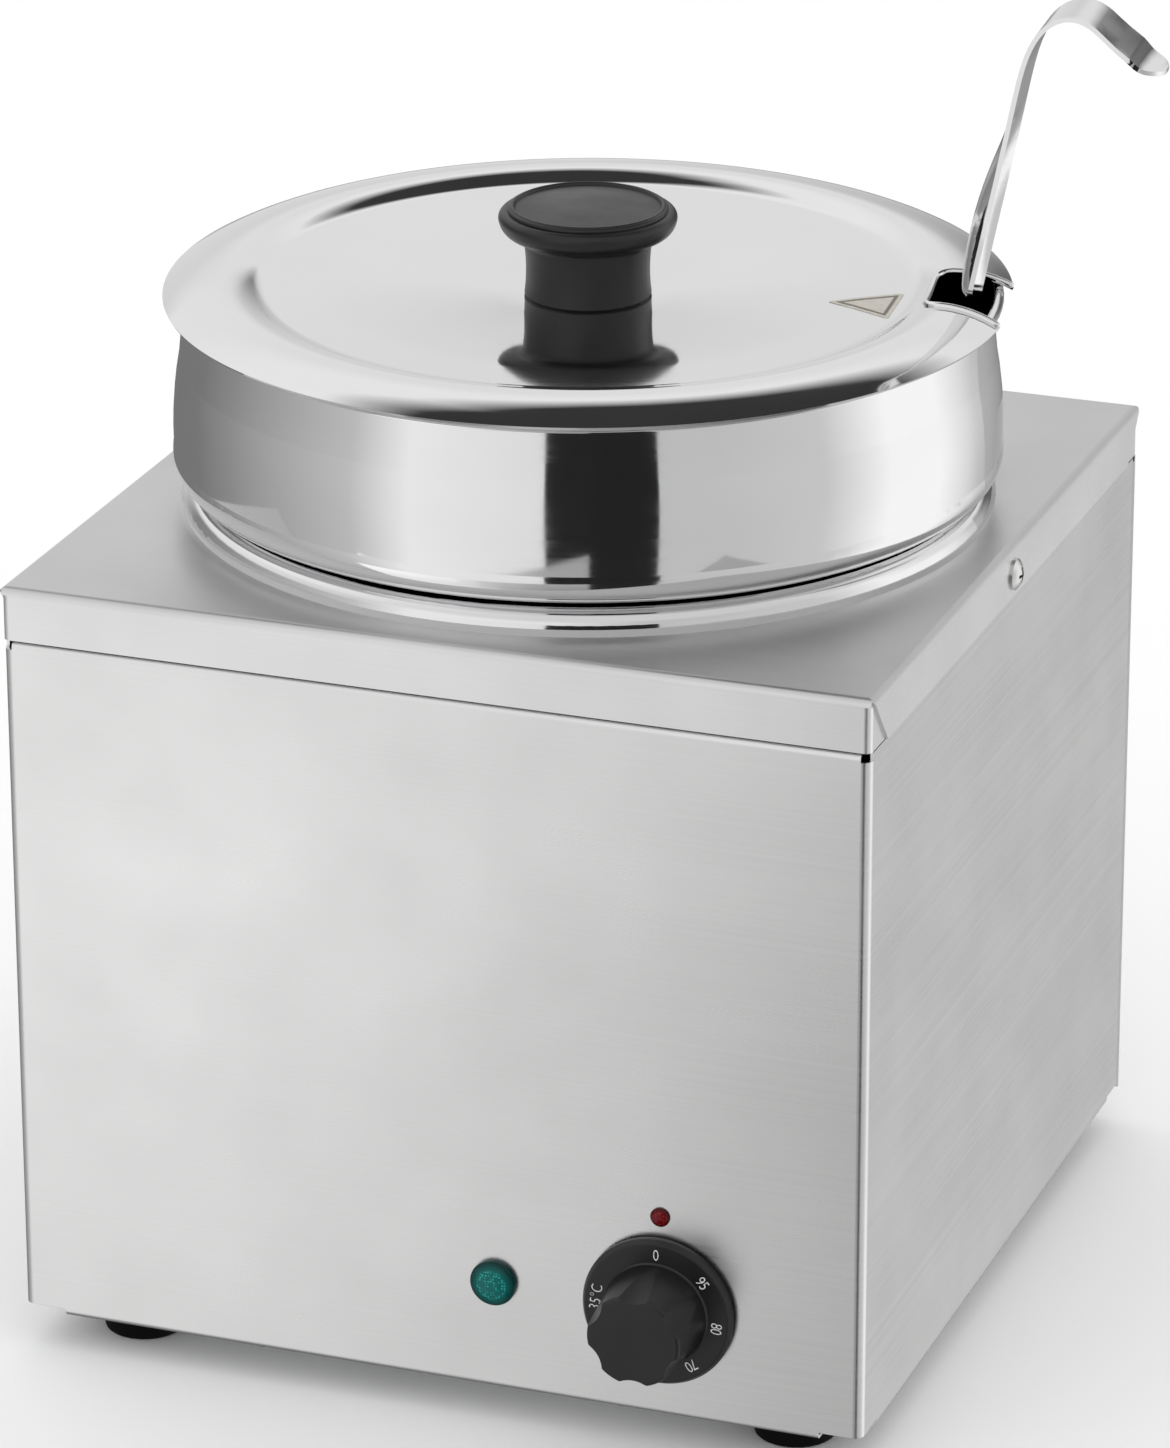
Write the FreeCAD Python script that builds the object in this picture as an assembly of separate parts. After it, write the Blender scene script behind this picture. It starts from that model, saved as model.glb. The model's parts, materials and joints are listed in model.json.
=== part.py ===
import FreeCAD, Part
import math
import os
from FreeCAD import Vector

# Electric countertop soup warmer: a square sheet casing with a round heated well,
# a lift-out soup pot, a notched lid with a moulded knob, and a hooked ladle.
# Millimetres, +Z up, +X to the right, the controls face -Y.
# The origin is on the standing plane, under the axis of the well.

os.makedirs("parts", exist_ok=True)

# ---------------------------------------------------------------- driving dimensions
casing_size = 280.0          # outside, both ways
casing_height = 244.0        # underside to deck
stand_off = 12.0             # feet below the casing
sheet = 1.0                  # casing sheet
flange_drop = 17.0           # turned-down edge of the top cover
cover_bend = 2.5             # outer radius of the cover's bends
mitre_run = 13.8             # slant of the side edges' ends, over their drop
seam = 0.4                   # gap under the cover's edge
wrap_corner = 3.0            # outer radius of the body's upright corners
lip_bend = 2.0               # outer radius of the body's turned-in edges
corner_relief = 2.6          # notch where two bends meet
lip_reach = 12.0             # width of the turned-in edges
screw_side_drop = 9.7        # cover screw below the deck

foot_x = 109.2
foot_y = 113.6
foot_r = 14.0

well_r = 118.0               # inside of the heated well
well_depth = 158.0           # deck to the well's floor
tank_sheet = 0.8
collar_height = 8.0          # bead that stands on the deck

pot_wall_r = 115.5           # outside of the pot below its shoulder
pot_sheet = 1.0
pot_bottom = 147.0           # underside of the pot below the deck

lid_sheet = 0.8
notch_angle = 10.9           # direction of the lid's notch, degrees from +X
notch_half = 8.4             # half its width, degrees
notch_inner_r = 109.0
knob_seat = 66.0             # lid surface under the knob, above the deck

ladle_heading = 5.0          # plane of the ladle's hook, degrees from +X
ladle_lean = 11.6            # degrees from upright
ladle_gate = (119.0, 22.7, 73.6)   # point of the handle level with the notch
handle_width = 20.0
handle_sheet = 1.5
trough_depth = 3.2           # the handle's section is a shallow trough
bowl_r = 38.0
bowl_sheet = 1.2
bowl_foot = 116.6            # bowl's rim at the handle, below the deck

dial_x = 74.0
green_x = 19.9
control_height = 48.3        # dial and green lamp above the standing plane
red_height = 79.0
dial_r = 24.2
dial_reach = 25.0            # panel to the front of the grip
grip_lobes = 6

# ---------------------------------------------------------------- derived places
half = casing_size / 2
deck = stand_off + casing_height
side_x = half - sheet                    # body sides sit inside the cover's edges
back_y = half - sheet                    # inner face of the back panel
front_top = deck - flange_drop - seam
flange_z = deck - flange_drop
base_z = stand_off + sheet               # underside of the base plate
panel_in = -half + sheet                 # inner face of the front panel
return_x = 124.0                         # inner end of the body's back returns
tank_floor = deck - well_depth - tank_sheet
lean = math.radians(ladle_lean)
heading = math.radians(ladle_heading)

UP = Vector(0, 0, 1)
NORTH = Vector(0, 1, 0)
EAST = Vector(1, 0, 0)
ORIGIN = Vector(0, 0, 0)


# ---------------------------------------------------------------- helpers
def box(x0, x1, y0, y1, z0, z1):
    return Part.makeBox(x1 - x0, y1 - y0, z1 - z0, Vector(x0, y0, z0))


def rod(radius, start, end):
    start = Vector(*start)
    end = Vector(*end)
    return Part.makeCylinder(radius, (end - start).Length, start, end - start)


def fuse_all(shapes):
    return shapes[0].multiFuse(shapes[1:]).removeSplitter()


def mirrored(shape):
    return shape.mirror(ORIGIN, EAST)


def place(plane, point):
    a, b = point
    spots = {"XZ": (a, 0, b), "YZ": (0, a, b), "XY": (a, b, 0)}
    return Vector(*spots[plane])


def outline(plane, start, steps):
    """Closed face: a step is a point for a line, or (middle, end) for an arc."""
    edges = []
    here = place(plane, start)
    for step in steps:
        if isinstance(step[0], tuple):
            middle = place(plane, step[0])
            end = place(plane, step[1])
            edges.append(Part.Arc(here, middle, end).toShape())
        else:
            end = place(plane, step)
            edges.append(Part.LineSegment(here, end).toShape())
        here = end
    first = place(plane, start)
    if here.distanceToPoint(first) > 1e-6:
        edges.append(Part.LineSegment(here, first).toShape())
    return Part.Face(Part.Wire(edges))


def turned(start, steps):
    return outline("XZ", start, steps).revolve(ORIGIN, UP, 360)


def crown(edge_r, edge_z, top_z):
    """Arc of a sphere centred on the axis, from the edge to the top."""
    rise = top_z - edge_z
    radius = (edge_r ** 2 + rise ** 2) / (2 * rise)
    half_way = math.asin(min(1.0, edge_r / abs(radius))) / 2
    middle = (abs(radius) * math.sin(half_way), top_z - radius + radius * math.cos(half_way))
    return (middle, (0, top_z))


def crown_back(edge_r, edge_z, top_z):
    """The same arc, from the top back to the edge."""
    return (crown(edge_r, edge_z, top_z)[0], (edge_r, edge_z))


def turned_facing_front(start, steps, x, z):
    """Profile of (radius, distance in front of the panel), turned about Y."""
    shape = turned(start, steps)
    shape.rotate(ORIGIN, EAST, 90)
    shape.translate(Vector(x, -half, z))
    return shape


def bend_point(centre, radius, degrees):
    angle = math.radians(degrees)
    return (centre[0] + radius * math.cos(angle), centre[1] + radius * math.sin(angle))


def rounded_box(x0, x1, y0, y1, z0, z1, radius):
    body = box(x0, x1, y0, y1, z0, z1)
    upright = [e for e in body.Edges if abs(e.tangentAt(e.FirstParameter).z) > 0.9]
    return body.makeFillet(radius, upright)


def hexagon(across, z0, z1, x, y):
    corner = across / math.sqrt(3)
    turns = [math.radians(60 * i) for i in range(7)]
    points = [Vector(x + corner * math.cos(a), y + corner * math.sin(a), z0) for a in turns]
    return Part.Face(Part.makePolygon(points)).extrude(Vector(0, 0, z1 - z0))


def nut(across, bore, z0, z1, x, y):
    return hexagon(across, z0, z1, x, y).cut(rod(bore, (x, y, z0 - 1), (x, y, z1 + 1)))


def cross_recess(size, depth, x, y, z):
    slot_a = box(x - size, x + size, y - size / 5, y + size / 5, z - depth, z + 5)
    slot_b = box(x - size / 5, x + size / 5, y - size, y + size, z - depth, z + 5)
    return slot_a.fuse(slot_b)


def pan_screw(head_r, head_h, shank_r, shank_len):
    """Cross-recess pan-head screw: the head's underside at z=0, the shank below."""
    brim = head_h * 0.3
    head = turned((0, 0), [(head_r, 0), (head_r, brim), crown(head_r, brim, head_h)])
    shank = rod(shank_r, (0, 0, -shank_len), (0, 0, 0))
    return head.fuse(shank).cut(cross_recess(head_r * 0.5, head_h * 0.55, 0, 0, head_h))


def moved(shape, spot, axis=None, degrees=0):
    copy = shape.copy()
    if axis is not None:
        copy.rotate(ORIGIN, axis, degrees)
    copy.translate(Vector(*spot))
    return copy


def tube_path(points, radius, bend):
    """Round tube along straight runs joined by tangent arcs."""
    spots = [Vector(*p) for p in points]
    edges = []
    here = spots[0]
    for i in range(1, len(spots) - 1):
        corner = spots[i]
        before = (spots[i - 1] - corner).normalize()
        after = (spots[i + 1] - corner).normalize()
        turn = math.pi - before.getAngle(after)
        back = bend * math.tan(turn / 2)
        enter = corner + before * back
        leave = corner + after * back
        middle_way = (before + after).normalize()
        centre = corner + middle_way * (bend / math.cos(turn / 2))
        middle = centre - middle_way * bend
        edges.append(Part.LineSegment(here, enter).toShape())
        edges.append(Part.Arc(enter, middle, leave).toShape())
        here = leave
    edges.append(Part.LineSegment(here, spots[-1]).toShape())
    start_way = (spots[1] - spots[0]).normalize()
    ring = Part.Wire(Part.makeCircle(radius, spots[0], start_way))
    return Part.Wire(edges).makePipeShell([ring], True, False)


# ---------------------------------------------------------------- casing
def bent_edge(length, reach):
    """Turned-in edge along X: outer face at y=0, its lip on top reaching to +Y."""
    bend = (lip_bend, corner_relief - lip_bend)
    steps = [
        (0, bend[1]),
        (bend_point(bend, lip_bend, 135), (lip_bend, corner_relief)),
        (reach, corner_relief),
        (reach, corner_relief - sheet),
        (lip_bend, corner_relief - sheet),
        (bend_point(bend, lip_bend - sheet, 135), (sheet, bend[1])),
        (sheet, 0),
    ]
    section = outline("YZ", (0, 0), steps)
    section.translate(Vector(-length / 2, 0, 0))
    return section.extrude(Vector(length, 0, 0))


base_screw_spots = [(-60, -134), (60, -134), (-133, -60), (-133, 60), (133, -60), (133, 60)]
back_screw_spots = [(-131, 26), (131, 26), (-131, 224), (131, 224), (-60, 22), (60, 22)]


def panel_holes():
    holes = [
        rod(4.5, (dial_x, -half - 5, control_height), (dial_x, -half + 5, control_height)),
        rod(6.0, (green_x, -half - 5, control_height), (green_x, -half + 5, control_height)),
        rod(2.9, (dial_x, -half - 5, red_height), (dial_x, -half + 5, red_height)),
    ]
    for side in (-14, 14):
        x = dial_x + side
        holes.append(rod(2.1, (x, -half - 5, control_height), (x, -half + 5, control_height)))
    return holes


def casing_wrap():
    """Front and both sides in one bent sheet, with returns for the back panel."""
    low = stand_off + corner_relief
    high = front_top - corner_relief
    outer = rounded_box(-side_x, side_x, -half, back_y, low, high, wrap_corner)
    inner = rounded_box(-side_x + sheet, side_x - sheet, panel_in, back_y - sheet,
                        low - 1, high + 1, wrap_corner - sheet)
    shell = outer.cut(inner)
    shell = shell.cut(box(-return_x, return_x, back_y - 2, back_y + 1, low - 1, high + 1))
    pieces = [shell]
    straight = half - wrap_corner
    for side in (-1, 1):
        x0, x1 = sorted((side * side_x, side * (side_x - sheet)))
        pieces.append(box(x0, x1, -straight, straight - sheet, high, front_top))
        pieces.append(box(x0, x1, 4 - half + flange_drop, half - flange_drop - 4,
                          front_top, deck - cover_bend - 0.2))
    top_lip = bent_edge(2 * (side_x - wrap_corner), lip_reach)
    pieces.append(moved(top_lip, (0, -half, high)))
    bottom = bent_edge(2 * (side_x - 14), lip_reach).mirror(ORIGIN, UP)
    pieces.append(moved(bottom, (0, -half, low)))
    side_bottom = bent_edge(2 * (half - 15), lip_reach).mirror(ORIGIN, UP)
    pieces.append(moved(side_bottom, (side_x, 0, low), UP, 90))
    pieces.append(moved(side_bottom, (-side_x, 0, low), UP, -90))
    wrap = fuse_all(pieces)
    holes = panel_holes()
    screw_z = deck - screw_side_drop
    holes.append(rod(2.7, (-half, 0, screw_z), (half, 0, screw_z)))
    for x, y in base_screw_spots:
        holes.append(rod(1.6, (x, y, stand_off - 2), (x, y, stand_off + 4)))
    for x, z in back_screw_spots[:4]:
        holes.append(rod(1.6, (x, back_y - 4, z), (x, back_y + 2, z)))
    return wrap.cut(Part.makeCompound(holes))


def cap(reach, low, top, bend):
    """Square block whose four top edges are rounded."""
    block = box(-reach, reach, -reach, reach, low, top)
    top_edges = [e for e in block.Edges if e.BoundBox.ZMin > top - 0.1]
    return block.makeFillet(bend, top_edges)


def mitre_wedge(y_sign):
    """Removes the slanted end of both side edges at the front or the back."""
    drop = flange_drop * 2
    corners = [(y_sign * half, deck), (y_sign * (half + 1), deck),
               (y_sign * (half + 1), deck - drop), (y_sign * (half - 2 * mitre_run), deck - drop)]
    wedge = outline("YZ", corners[0], corners[1:])
    wedge.translate(Vector(-half - 5, 0, 0))
    wedge = wedge.extrude(Vector(casing_size + 10, 0, 0))
    return wedge.cut(box(-side_x, side_x, -half - 9, half + 9, 0, deck + 9))


def folded_edges():
    """Front and back edges with the corner tabs that fold round under the side edges."""
    low = flange_z
    high = deck - cover_bend
    turn = cover_bend - 0.3
    outer = rounded_box(-side_x, side_x, -half, half, low, high, turn)
    inner = rounded_box(-side_x + sheet, side_x - sheet, -half + sheet, half - sheet,
                        low - 1, high + 1, turn - sheet)
    tab_end = half - flange_drop - 2.6
    return outer.cut(inner).cut(box(-half, half, -tab_end, tab_end, low - 1, high + 1))


def top_cover():
    cover = cap(half, flange_z, deck, cover_bend)
    cover = cover.cut(cap(half - sheet, flange_z - 1, deck - sheet, cover_bend - sheet))
    for y_sign in (-1, 1):
        cover = cover.cut(mitre_wedge(y_sign))
        y0, y1 = sorted((y_sign * (half - sheet), y_sign * (half + 1)))
        cover = cover.cut(box(-side_x, side_x, y0, y1, flange_z - 1, deck - cover_bend))
    cover = fuse_all([cover, folded_edges()])
    cover = cover.cut(rod(well_r + tank_sheet + 0.6, (0, 0, deck - 5), (0, 0, deck + 5)))
    screw_z = deck - screw_side_drop
    return cover.cut(rod(2.7, (-half - 5, 0, screw_z), (half + 5, 0, screw_z)))


def slot_row(count, pitch, length, width, plane):
    """Row of round-ended slots, centred on the origin, to be cut from a sheet."""
    slots = []
    for i in range(count):
        x = (i - (count - 1) / 2) * pitch
        one = rounded_box(x - width / 2, x + width / 2, -length / 2, length / 2, -5, 5,
                          width / 2 - 0.01)
        slots.append(one)
    row = Part.makeCompound(slots)
    if plane == "XZ":
        row.rotate(ORIGIN, EAST, 90)
    return row


gland_x = -90.0
gland_z = 46.0


def back_panel():
    panel = box(-side_x + 0.3, side_x - 0.3, back_y, half, stand_off + 0.4, front_top)
    holes = [rod(8.2, (gland_x, back_y - 3, gland_z), (gland_x, half + 3, gland_z))]
    for x, z in back_screw_spots:
        holes.append(rod(1.9, (x, back_y - 3, z), (x, half + 3, z)))
    for z in (70, 200):
        holes.append(moved(slot_row(9, 11, 34, 4, "XZ"), (40, half, z)))
    return panel.cut(Part.makeCompound(holes))


def base_plate():
    inset = 1.8
    plate = box(-side_x + sheet + inset, side_x - sheet - inset, panel_in + inset,
                back_y - inset, base_z, base_z + sheet)
    upturn = box(-118, 118, back_y - sheet, back_y, base_z, base_z + 16)
    bridge = box(-118, 118, back_y - 4, back_y, base_z, base_z + sheet)
    plate = fuse_all([plate, upturn, bridge])
    holes = []
    for x in (-foot_x, foot_x):
        for y in (-foot_y, foot_y):
            holes.append(rod(2.2, (x, y, 0), (x, y, 30)))
    for x, y in base_screw_spots:
        holes.append(rod(1.4, (x, y, 0), (x, y, 30)))
    for x, z in back_screw_spots[4:]:
        holes.append(rod(1.4, (x, back_y - 4, z), (x, back_y + 4, z)))
    holes.append(rod(2.6, (earth_x, earth_y, 0), (earth_x, earth_y, 30)))
    for y in (-40, 20):
        holes.append(moved(slot_row(8, 14, 36, 4, "XY"), (20, y, base_z)))
    return plate.cut(Part.makeCompound(holes))


def rubber_foot(x, y):
    profile = [
        (foot_r - 2.5, 0),
        ((foot_r - 1.4, 0.5), (foot_r - 1.0, 1.6)),
        (foot_r, base_z - 1.0),
        (foot_r - 1.0, base_z),
        (2.2, base_z),
        (2.2, 7.0),
        (5.2, 7.0),
    ]
    return moved(turned((5.2, 0), profile), (x, y, 0))


def foot_fastener(x, y):
    screw = pan_screw(4.0, 2.4, 1.95, 13.0).mirror(ORIGIN, UP)
    return moved(screw, (x, y, 7.0))


def foot_screws():
    spots = [(x, y) for x in (-foot_x, foot_x) for y in (-foot_y, foot_y)]
    return Part.makeCompound([foot_fastener(x, y) for x, y in spots])


def foot_nuts():
    spots = [(x, y) for x in (-foot_x, foot_x) for y in (-foot_y, foot_y)]
    low = base_z + sheet
    return Part.makeCompound([nut(7.0, 1.95, low, low + 3.2, x, y) for x, y in spots])


def cover_screws():
    screw = pan_screw(5.0, 2.8, 2.4, 11.0)
    z = deck - screw_side_drop
    right = moved(screw, (half, 0, z), NORTH, 90)
    return Part.makeCompound([right, mirrored(right)])


def cover_nuts():
    body = nut(9.0, 2.4, 0, 4.0, 0, 0)
    inner_face = side_x - sheet
    right = moved(body, (inner_face - 4.0, 0, deck - screw_side_drop), NORTH, 90)
    return Part.makeCompound([right, mirrored(right)])


def base_screws():
    screw = pan_screw(3.5, 2.0, 1.4, 6.0).mirror(ORIGIN, UP)
    return Part.makeCompound([moved(screw, (x, y, stand_off)) for x, y in base_screw_spots])


def back_screws():
    screw = pan_screw(3.5, 2.0, 1.4, 7.0)
    spots = back_screw_spots
    return Part.makeCompound([moved(screw, (x, half, z), EAST, -90) for x, z in spots])


# ---------------------------------------------------------------- heated well
def well_tank():
    """Drawn tank whose rim is rolled over into the collar that stands on the deck."""
    r = well_r
    t = tank_sheet
    floor = deck - well_depth
    corner = 10.0
    heel = (r - corner, floor + corner)
    steps = [
        (r - corner, floor),
        (bend_point(heel, corner, -45), (r, floor + corner)),
        (r, deck + 2.0),
        ((r + 1.2, deck + 5.6), (r + 5.0, deck + collar_height)),
        ((r + 8.6, deck + 6.0), (r + 10.0, deck + 2.6)),
        (r + 9.4, deck),
        (r + 8.6, deck),
        (r + 9.2, deck + 2.6),
        ((r + 8.0, deck + 5.4), (r + 5.0, deck + collar_height - t)),
        ((r + 1.9, deck + 5.0), (r + t, deck + 2.0)),
        (r + t, floor + corner),
        (bend_point(heel, corner + t, -45), (r - corner, floor - t)),
        (0, floor - t),
    ]
    return turned((0, floor), steps)


element_r = 75.0
element_tube = 4.0


def heating_element():
    """Sheathed tube in an open ring under the well, both ends turned down."""
    z = tank_floor - element_tube
    gap = 25.0
    bend = 12.0
    run = math.radians(gap)
    start = (element_r * math.cos(run), element_r * math.sin(run))
    ring = Part.makeCircle(element_r, Vector(0, 0, z), UP, gap, 360 - gap)
    edges = [ring]
    for sign in (1, -1):
        spot = Vector(start[0], sign * start[1], z)
        tangent = Vector(math.sin(run), -sign * math.cos(run), 0)
        centre = spot + Vector(0, 0, -bend)
        middle = centre + (UP + tangent).normalize() * bend
        leave = centre + tangent * bend
        elbow = Part.Arc(spot, middle, leave).toShape()
        leg = Part.LineSegment(leave, leave + Vector(0, 0, -22)).toShape()
        edges += [elbow, leg]
    path = Part.Wire(Part.sortEdges(edges)[0])
    first = path.OrderedEdges[0]
    way = first.tangentAt(first.FirstParameter)
    ring_wire = Part.Wire(Part.makeCircle(element_tube, first.firstVertex(True).Point, way))
    return path.makePipeShell([ring_wire], True, False)


stud_spots = [(60 * math.cos(math.radians(a)), 60 * math.sin(math.radians(a)))
              for a in (60, 180, 300)]
clamp_top = tank_floor - 2 * element_tube


def heater_clamp_plate():
    plate = rod(90, (0, 0, clamp_top - 1.5), (0, 0, clamp_top))
    plate = plate.cut(rod(50, (0, 0, 0), (0, 0, deck)))
    gap = box(55, 95, -50, 50, clamp_top - 3, clamp_top + 1)
    plate = plate.cut(gap)
    return plate.cut(Part.makeCompound([rod(2.7, (x, y, 0), (x, y, deck)) for x, y in stud_spots]))


def heater_studs():
    return Part.makeCompound([rod(2.5, (x, y, clamp_top - 12), (x, y, tank_floor))
                              for x, y in stud_spots])


def heater_nuts():
    low = clamp_top - 5.5
    return Part.makeCompound([nut(8.0, 2.5, low, clamp_top - 1.5, x, y) for x, y in stud_spots])


def insulation_blanket():
    inner = well_r + tank_sheet + 0.2
    steps = [(inner + 9, tank_floor + 14), (inner + 9, deck - 6), (inner, deck - 6)]
    return turned((inner, tank_floor + 14), steps)


bulb_y = -25.0


def sensor_bulb():
    """Thermostat bulb under the well and the fine tube that joins it to the thermostat."""
    z = tank_floor - 3.0
    bulb = rod(3.0, (-38, bulb_y, z), (30, bulb_y, z))
    route = [(29, bulb_y, z), (34, bulb_y, z), (37, bulb_y - 1, z - 12),
             (48, bulb_y - 14, z - 20), (62, -66, z - 22), (71, -94, 76), (dial_x, -108, 76),
             (dial_x, -115, 74), (dial_x, -115, thermostat_top)]
    line = tube_path(route, 0.8, 3.0)
    return bulb.fuse(line)


def bulb_clip():
    z = tank_floor
    strap = rod(4.0, (-6, bulb_y, z - 3), (6, bulb_y, z - 3))
    strap = strap.fuse(box(-6, 6, bulb_y - 4, bulb_y + 4, z - 3, z - 1))
    strap = strap.fuse(box(-6, 6, bulb_y - 12, bulb_y + 12, z - 1, z))
    hollow = rod(3.0, (-7, bulb_y, z - 3), (7, bulb_y, z - 3))
    hollow = hollow.fuse(box(-7, 7, bulb_y - 3, bulb_y + 3, z - 3, z + 1))
    return strap.cut(hollow)


def overheat_cutout():
    """Disc-type safety cut-out held against the underside of the well."""
    top = tank_floor
    body = rod(11, (0, 25, top - 10), (0, 25, top))
    flange = box(-17, 17, 19, 31, top - 10.0, top - 9.0)
    tabs = [box(x - 3, x + 3, 24.6, 25.4, top - 20, top - 10) for x in (-6, 6)]
    return fuse_all([body, flange] + tabs)


def cutout_bracket():
    top = tank_floor
    bar = box(-21, 21, 20, 30, top - 11, top - 10)
    bar = bar.cut(box(-10, 10, 22, 28, top - 12, top - 9))
    legs = [box(x - 1, x + 1, 20, 30, top - 11, top) for x in (-20, 20)]
    return fuse_all([bar] + legs)


# ---------------------------------------------------------------- controls
thermostat_half = 17.0
thermostat_top = control_height + thermostat_half


def thermostat_body():
    x = dial_x
    z = control_height
    plate = box(x - 22, x + 22, panel_in, panel_in + 1.2, z - 12, z + 12)
    case = box(x - 20, x + 20, panel_in + 1.2, panel_in + 28, z - thermostat_half,
               z + thermostat_half)
    capsule = rod(15, (x, panel_in + 28, z), (x, panel_in + 34, z))
    tabs = [box(x + i - 3, x + i + 3, panel_in + 18, panel_in + 18.8,
                z - thermostat_half - 9, z - thermostat_half) for i in (-10, 10)]
    body = fuse_all([plate, case, capsule] + tabs)
    body = body.cut(rod(3.05, (x, panel_in - 5, z), (x, panel_in + 15, z)))
    for side in (-14, 14):
        body = body.cut(rod(1.95, (x + side, panel_in - 1, z), (x + side, panel_in + 9, z)))
    return body


def thermostat_shaft():
    """Spindle with a flat on its outer half, turned by the dial."""
    x = dial_x
    z = control_height
    shaft = rod(3.0, (x, -half - 20, z), (x, panel_in + 14, z))
    return shaft.cut(box(x - 5, x + 5, -half - 21, -half - 3, z + 1.6, z + 5))


def thermostat_screws():
    screw = pan_screw(3.5, 1.5, 1.95, 8.5)
    spots = [(dial_x + side, -half, control_height) for side in (-14, 14)]
    return Part.makeCompound([moved(screw, spot, EAST, 90) for spot in spots])


def dial_knob():
    """Skirted control dial with a six-lobed grip, moulded in one piece."""
    rear = 1.0
    face = 4.0
    steps = [
        (dial_r, rear),
        (dial_r, rear + 1.6),
        (dial_r - 0.9, face - 0.1),
        (dial_r - 1.4, face),
        (16.9, face),
        (16.4, face + 0.6),
        (15.0, dial_reach - 1.2),
        ((14.6, dial_reach - 0.3), (13.6, dial_reach)),
        (0, dial_reach),
    ]
    knob = turned((0, rear), steps)
    for i in range(grip_lobes):
        angle = 90 + i * 360.0 / grip_lobes
        way = Vector(math.cos(math.radians(angle)), math.sin(math.radians(angle)), 0)
        low = way * 26.2 + Vector(0, 0, face - 1)
        high = way * 21.6 + Vector(0, 0, dial_reach + 2)
        flute = Part.makeCylinder(9.0, (high - low).Length, low, high - low)
        flute = flute.common(box(-60, 60, -60, 60, face, dial_reach + 5))
        knob = knob.cut(flute)
    pocket = rod(21.5, (0, 0, 0), (0, 0, rear + 1.7)).cut(rod(7, (0, 0, 0), (0, 0, 5)))
    knob = knob.cut(pocket)
    knob.rotate(ORIGIN, EAST, 90)
    knob.translate(Vector(dial_x, -half, control_height))
    return knob.cut(thermostat_shaft())


def green_lamp_lens():
    steps = [(7.4, 0), (7.4, 1.4), ((7.1, 2.1), (6.4, 2.4)), crown(6.4, 2.4, 3.6)]
    return turned_facing_front((0, 0), steps, green_x, control_height)


def lamp_body(radius, length, tab, x, z):
    tube = rod(radius, (x, -half, z), (x, -half + length, z))
    pins = [box(x + i * radius * 0.5 - 0.4, x + i * radius * 0.5 + 0.4, -half + length,
                -half + length + tab, z - 1.5, z + 1.5) for i in (-1, 1)]
    return fuse_all([tube] + pins)


def lamp_nut(bore, radius, x, z):
    ring = rod(radius, (x, panel_in, z), (x, panel_in + 2.5, z))
    return ring.cut(rod(bore, (x, panel_in - 1, z), (x, panel_in + 4, z)))


def red_lamp_lens():
    steps = [(3.1, 0), (3.1, 0.5), crown(3.1, 0.5, 1.9)]
    return turned_facing_front((0, 0), steps, dial_x, red_height)


# ---------------------------------------------------------------- wiring space
earth_x = -45.0
earth_y = 105.0
block_x = -90.0
block_y = 96.0


def terminal_block():
    z = base_z + sheet
    block = box(block_x - 17, block_x + 17, block_y - 11, block_y + 11, z, z + 17)
    for i in (-11, 0, 11):
        x = block_x + i
        block = block.cut(rod(2.2, (x, block_y - 20, z + 7), (x, block_y + 20, z + 7)))
        for y in (block_y - 6, block_y + 6):
            block = block.cut(rod(2.0, (x, y, z + 7), (x, y, z + 30)))
    return block


def terminal_screws():
    z = base_z + sheet
    screws = []
    for i in (-11, 0, 11):
        for y in (block_y - 6, block_y + 6):
            screw = rod(1.9, (block_x + i, y, z + 9.4), (block_x + i, y, z + 15.5))
            slot = box(block_x + i - 3, block_x + i + 3, y - 0.3, y + 0.3, z + 14.6, z + 16)
            screws.append(screw.cut(slot))
    return Part.makeCompound(screws)


def earth_stud():
    head = hexagon(8.0, base_z - 3.5, base_z, earth_x, earth_y)
    return head.fuse(rod(2.5, (earth_x, earth_y, base_z), (earth_x, earth_y, base_z + 18)))


def earth_nuts():
    low = base_z + sheet
    first = nut(8.0, 2.5, low, low + 4, earth_x, earth_y)
    second = nut(8.0, 2.5, low + 6, low + 10, earth_x, earth_y)
    return Part.makeCompound([first, second])


def cord_gland():
    """Cable gland body through the back panel."""
    shank = rod(8.0, (gland_x, back_y - 11, gland_z), (gland_x, half, gland_z))
    collar = moved(hexagon(22.0, 0, 5.0, 0, 0), (gland_x, half, gland_z), EAST, -90)
    neck = rod(8.5, (gland_x, half, gland_z), (gland_x, half + 14, gland_z))
    body = fuse_all([shank, collar, neck])
    return body.cut(rod(4.2, (gland_x, back_y - 20, gland_z), (gland_x, half + 20, gland_z)))


def gland_cap():
    steps = [(11.0, 5.4), (11.0, 14.0), ((10.2, 17.4), (7.0, 19.0)), (4.2, 19.0),
             (4.2, 14.0), (8.5, 14.0)]
    cap = turned((8.5, 5.4), steps)
    for i in range(12):
        angle = math.radians(30 * i)
        x = 11.6 * math.cos(angle)
        y = 11.6 * math.sin(angle)
        cap = cap.cut(rod(1.2, (x, y, 5), (x, y, 14.5)))
    cap.rotate(ORIGIN, EAST, -90)
    cap.translate(Vector(gland_x, half, gland_z))
    return cap


def gland_nut():
    ring = moved(hexagon(20.0, 0, 5.0, 0, 0), (gland_x, back_y, gland_z), EAST, 90)
    return ring.cut(rod(8.0, (gland_x, back_y - 9, gland_z), (gland_x, back_y + 1, gland_z)))


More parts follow.
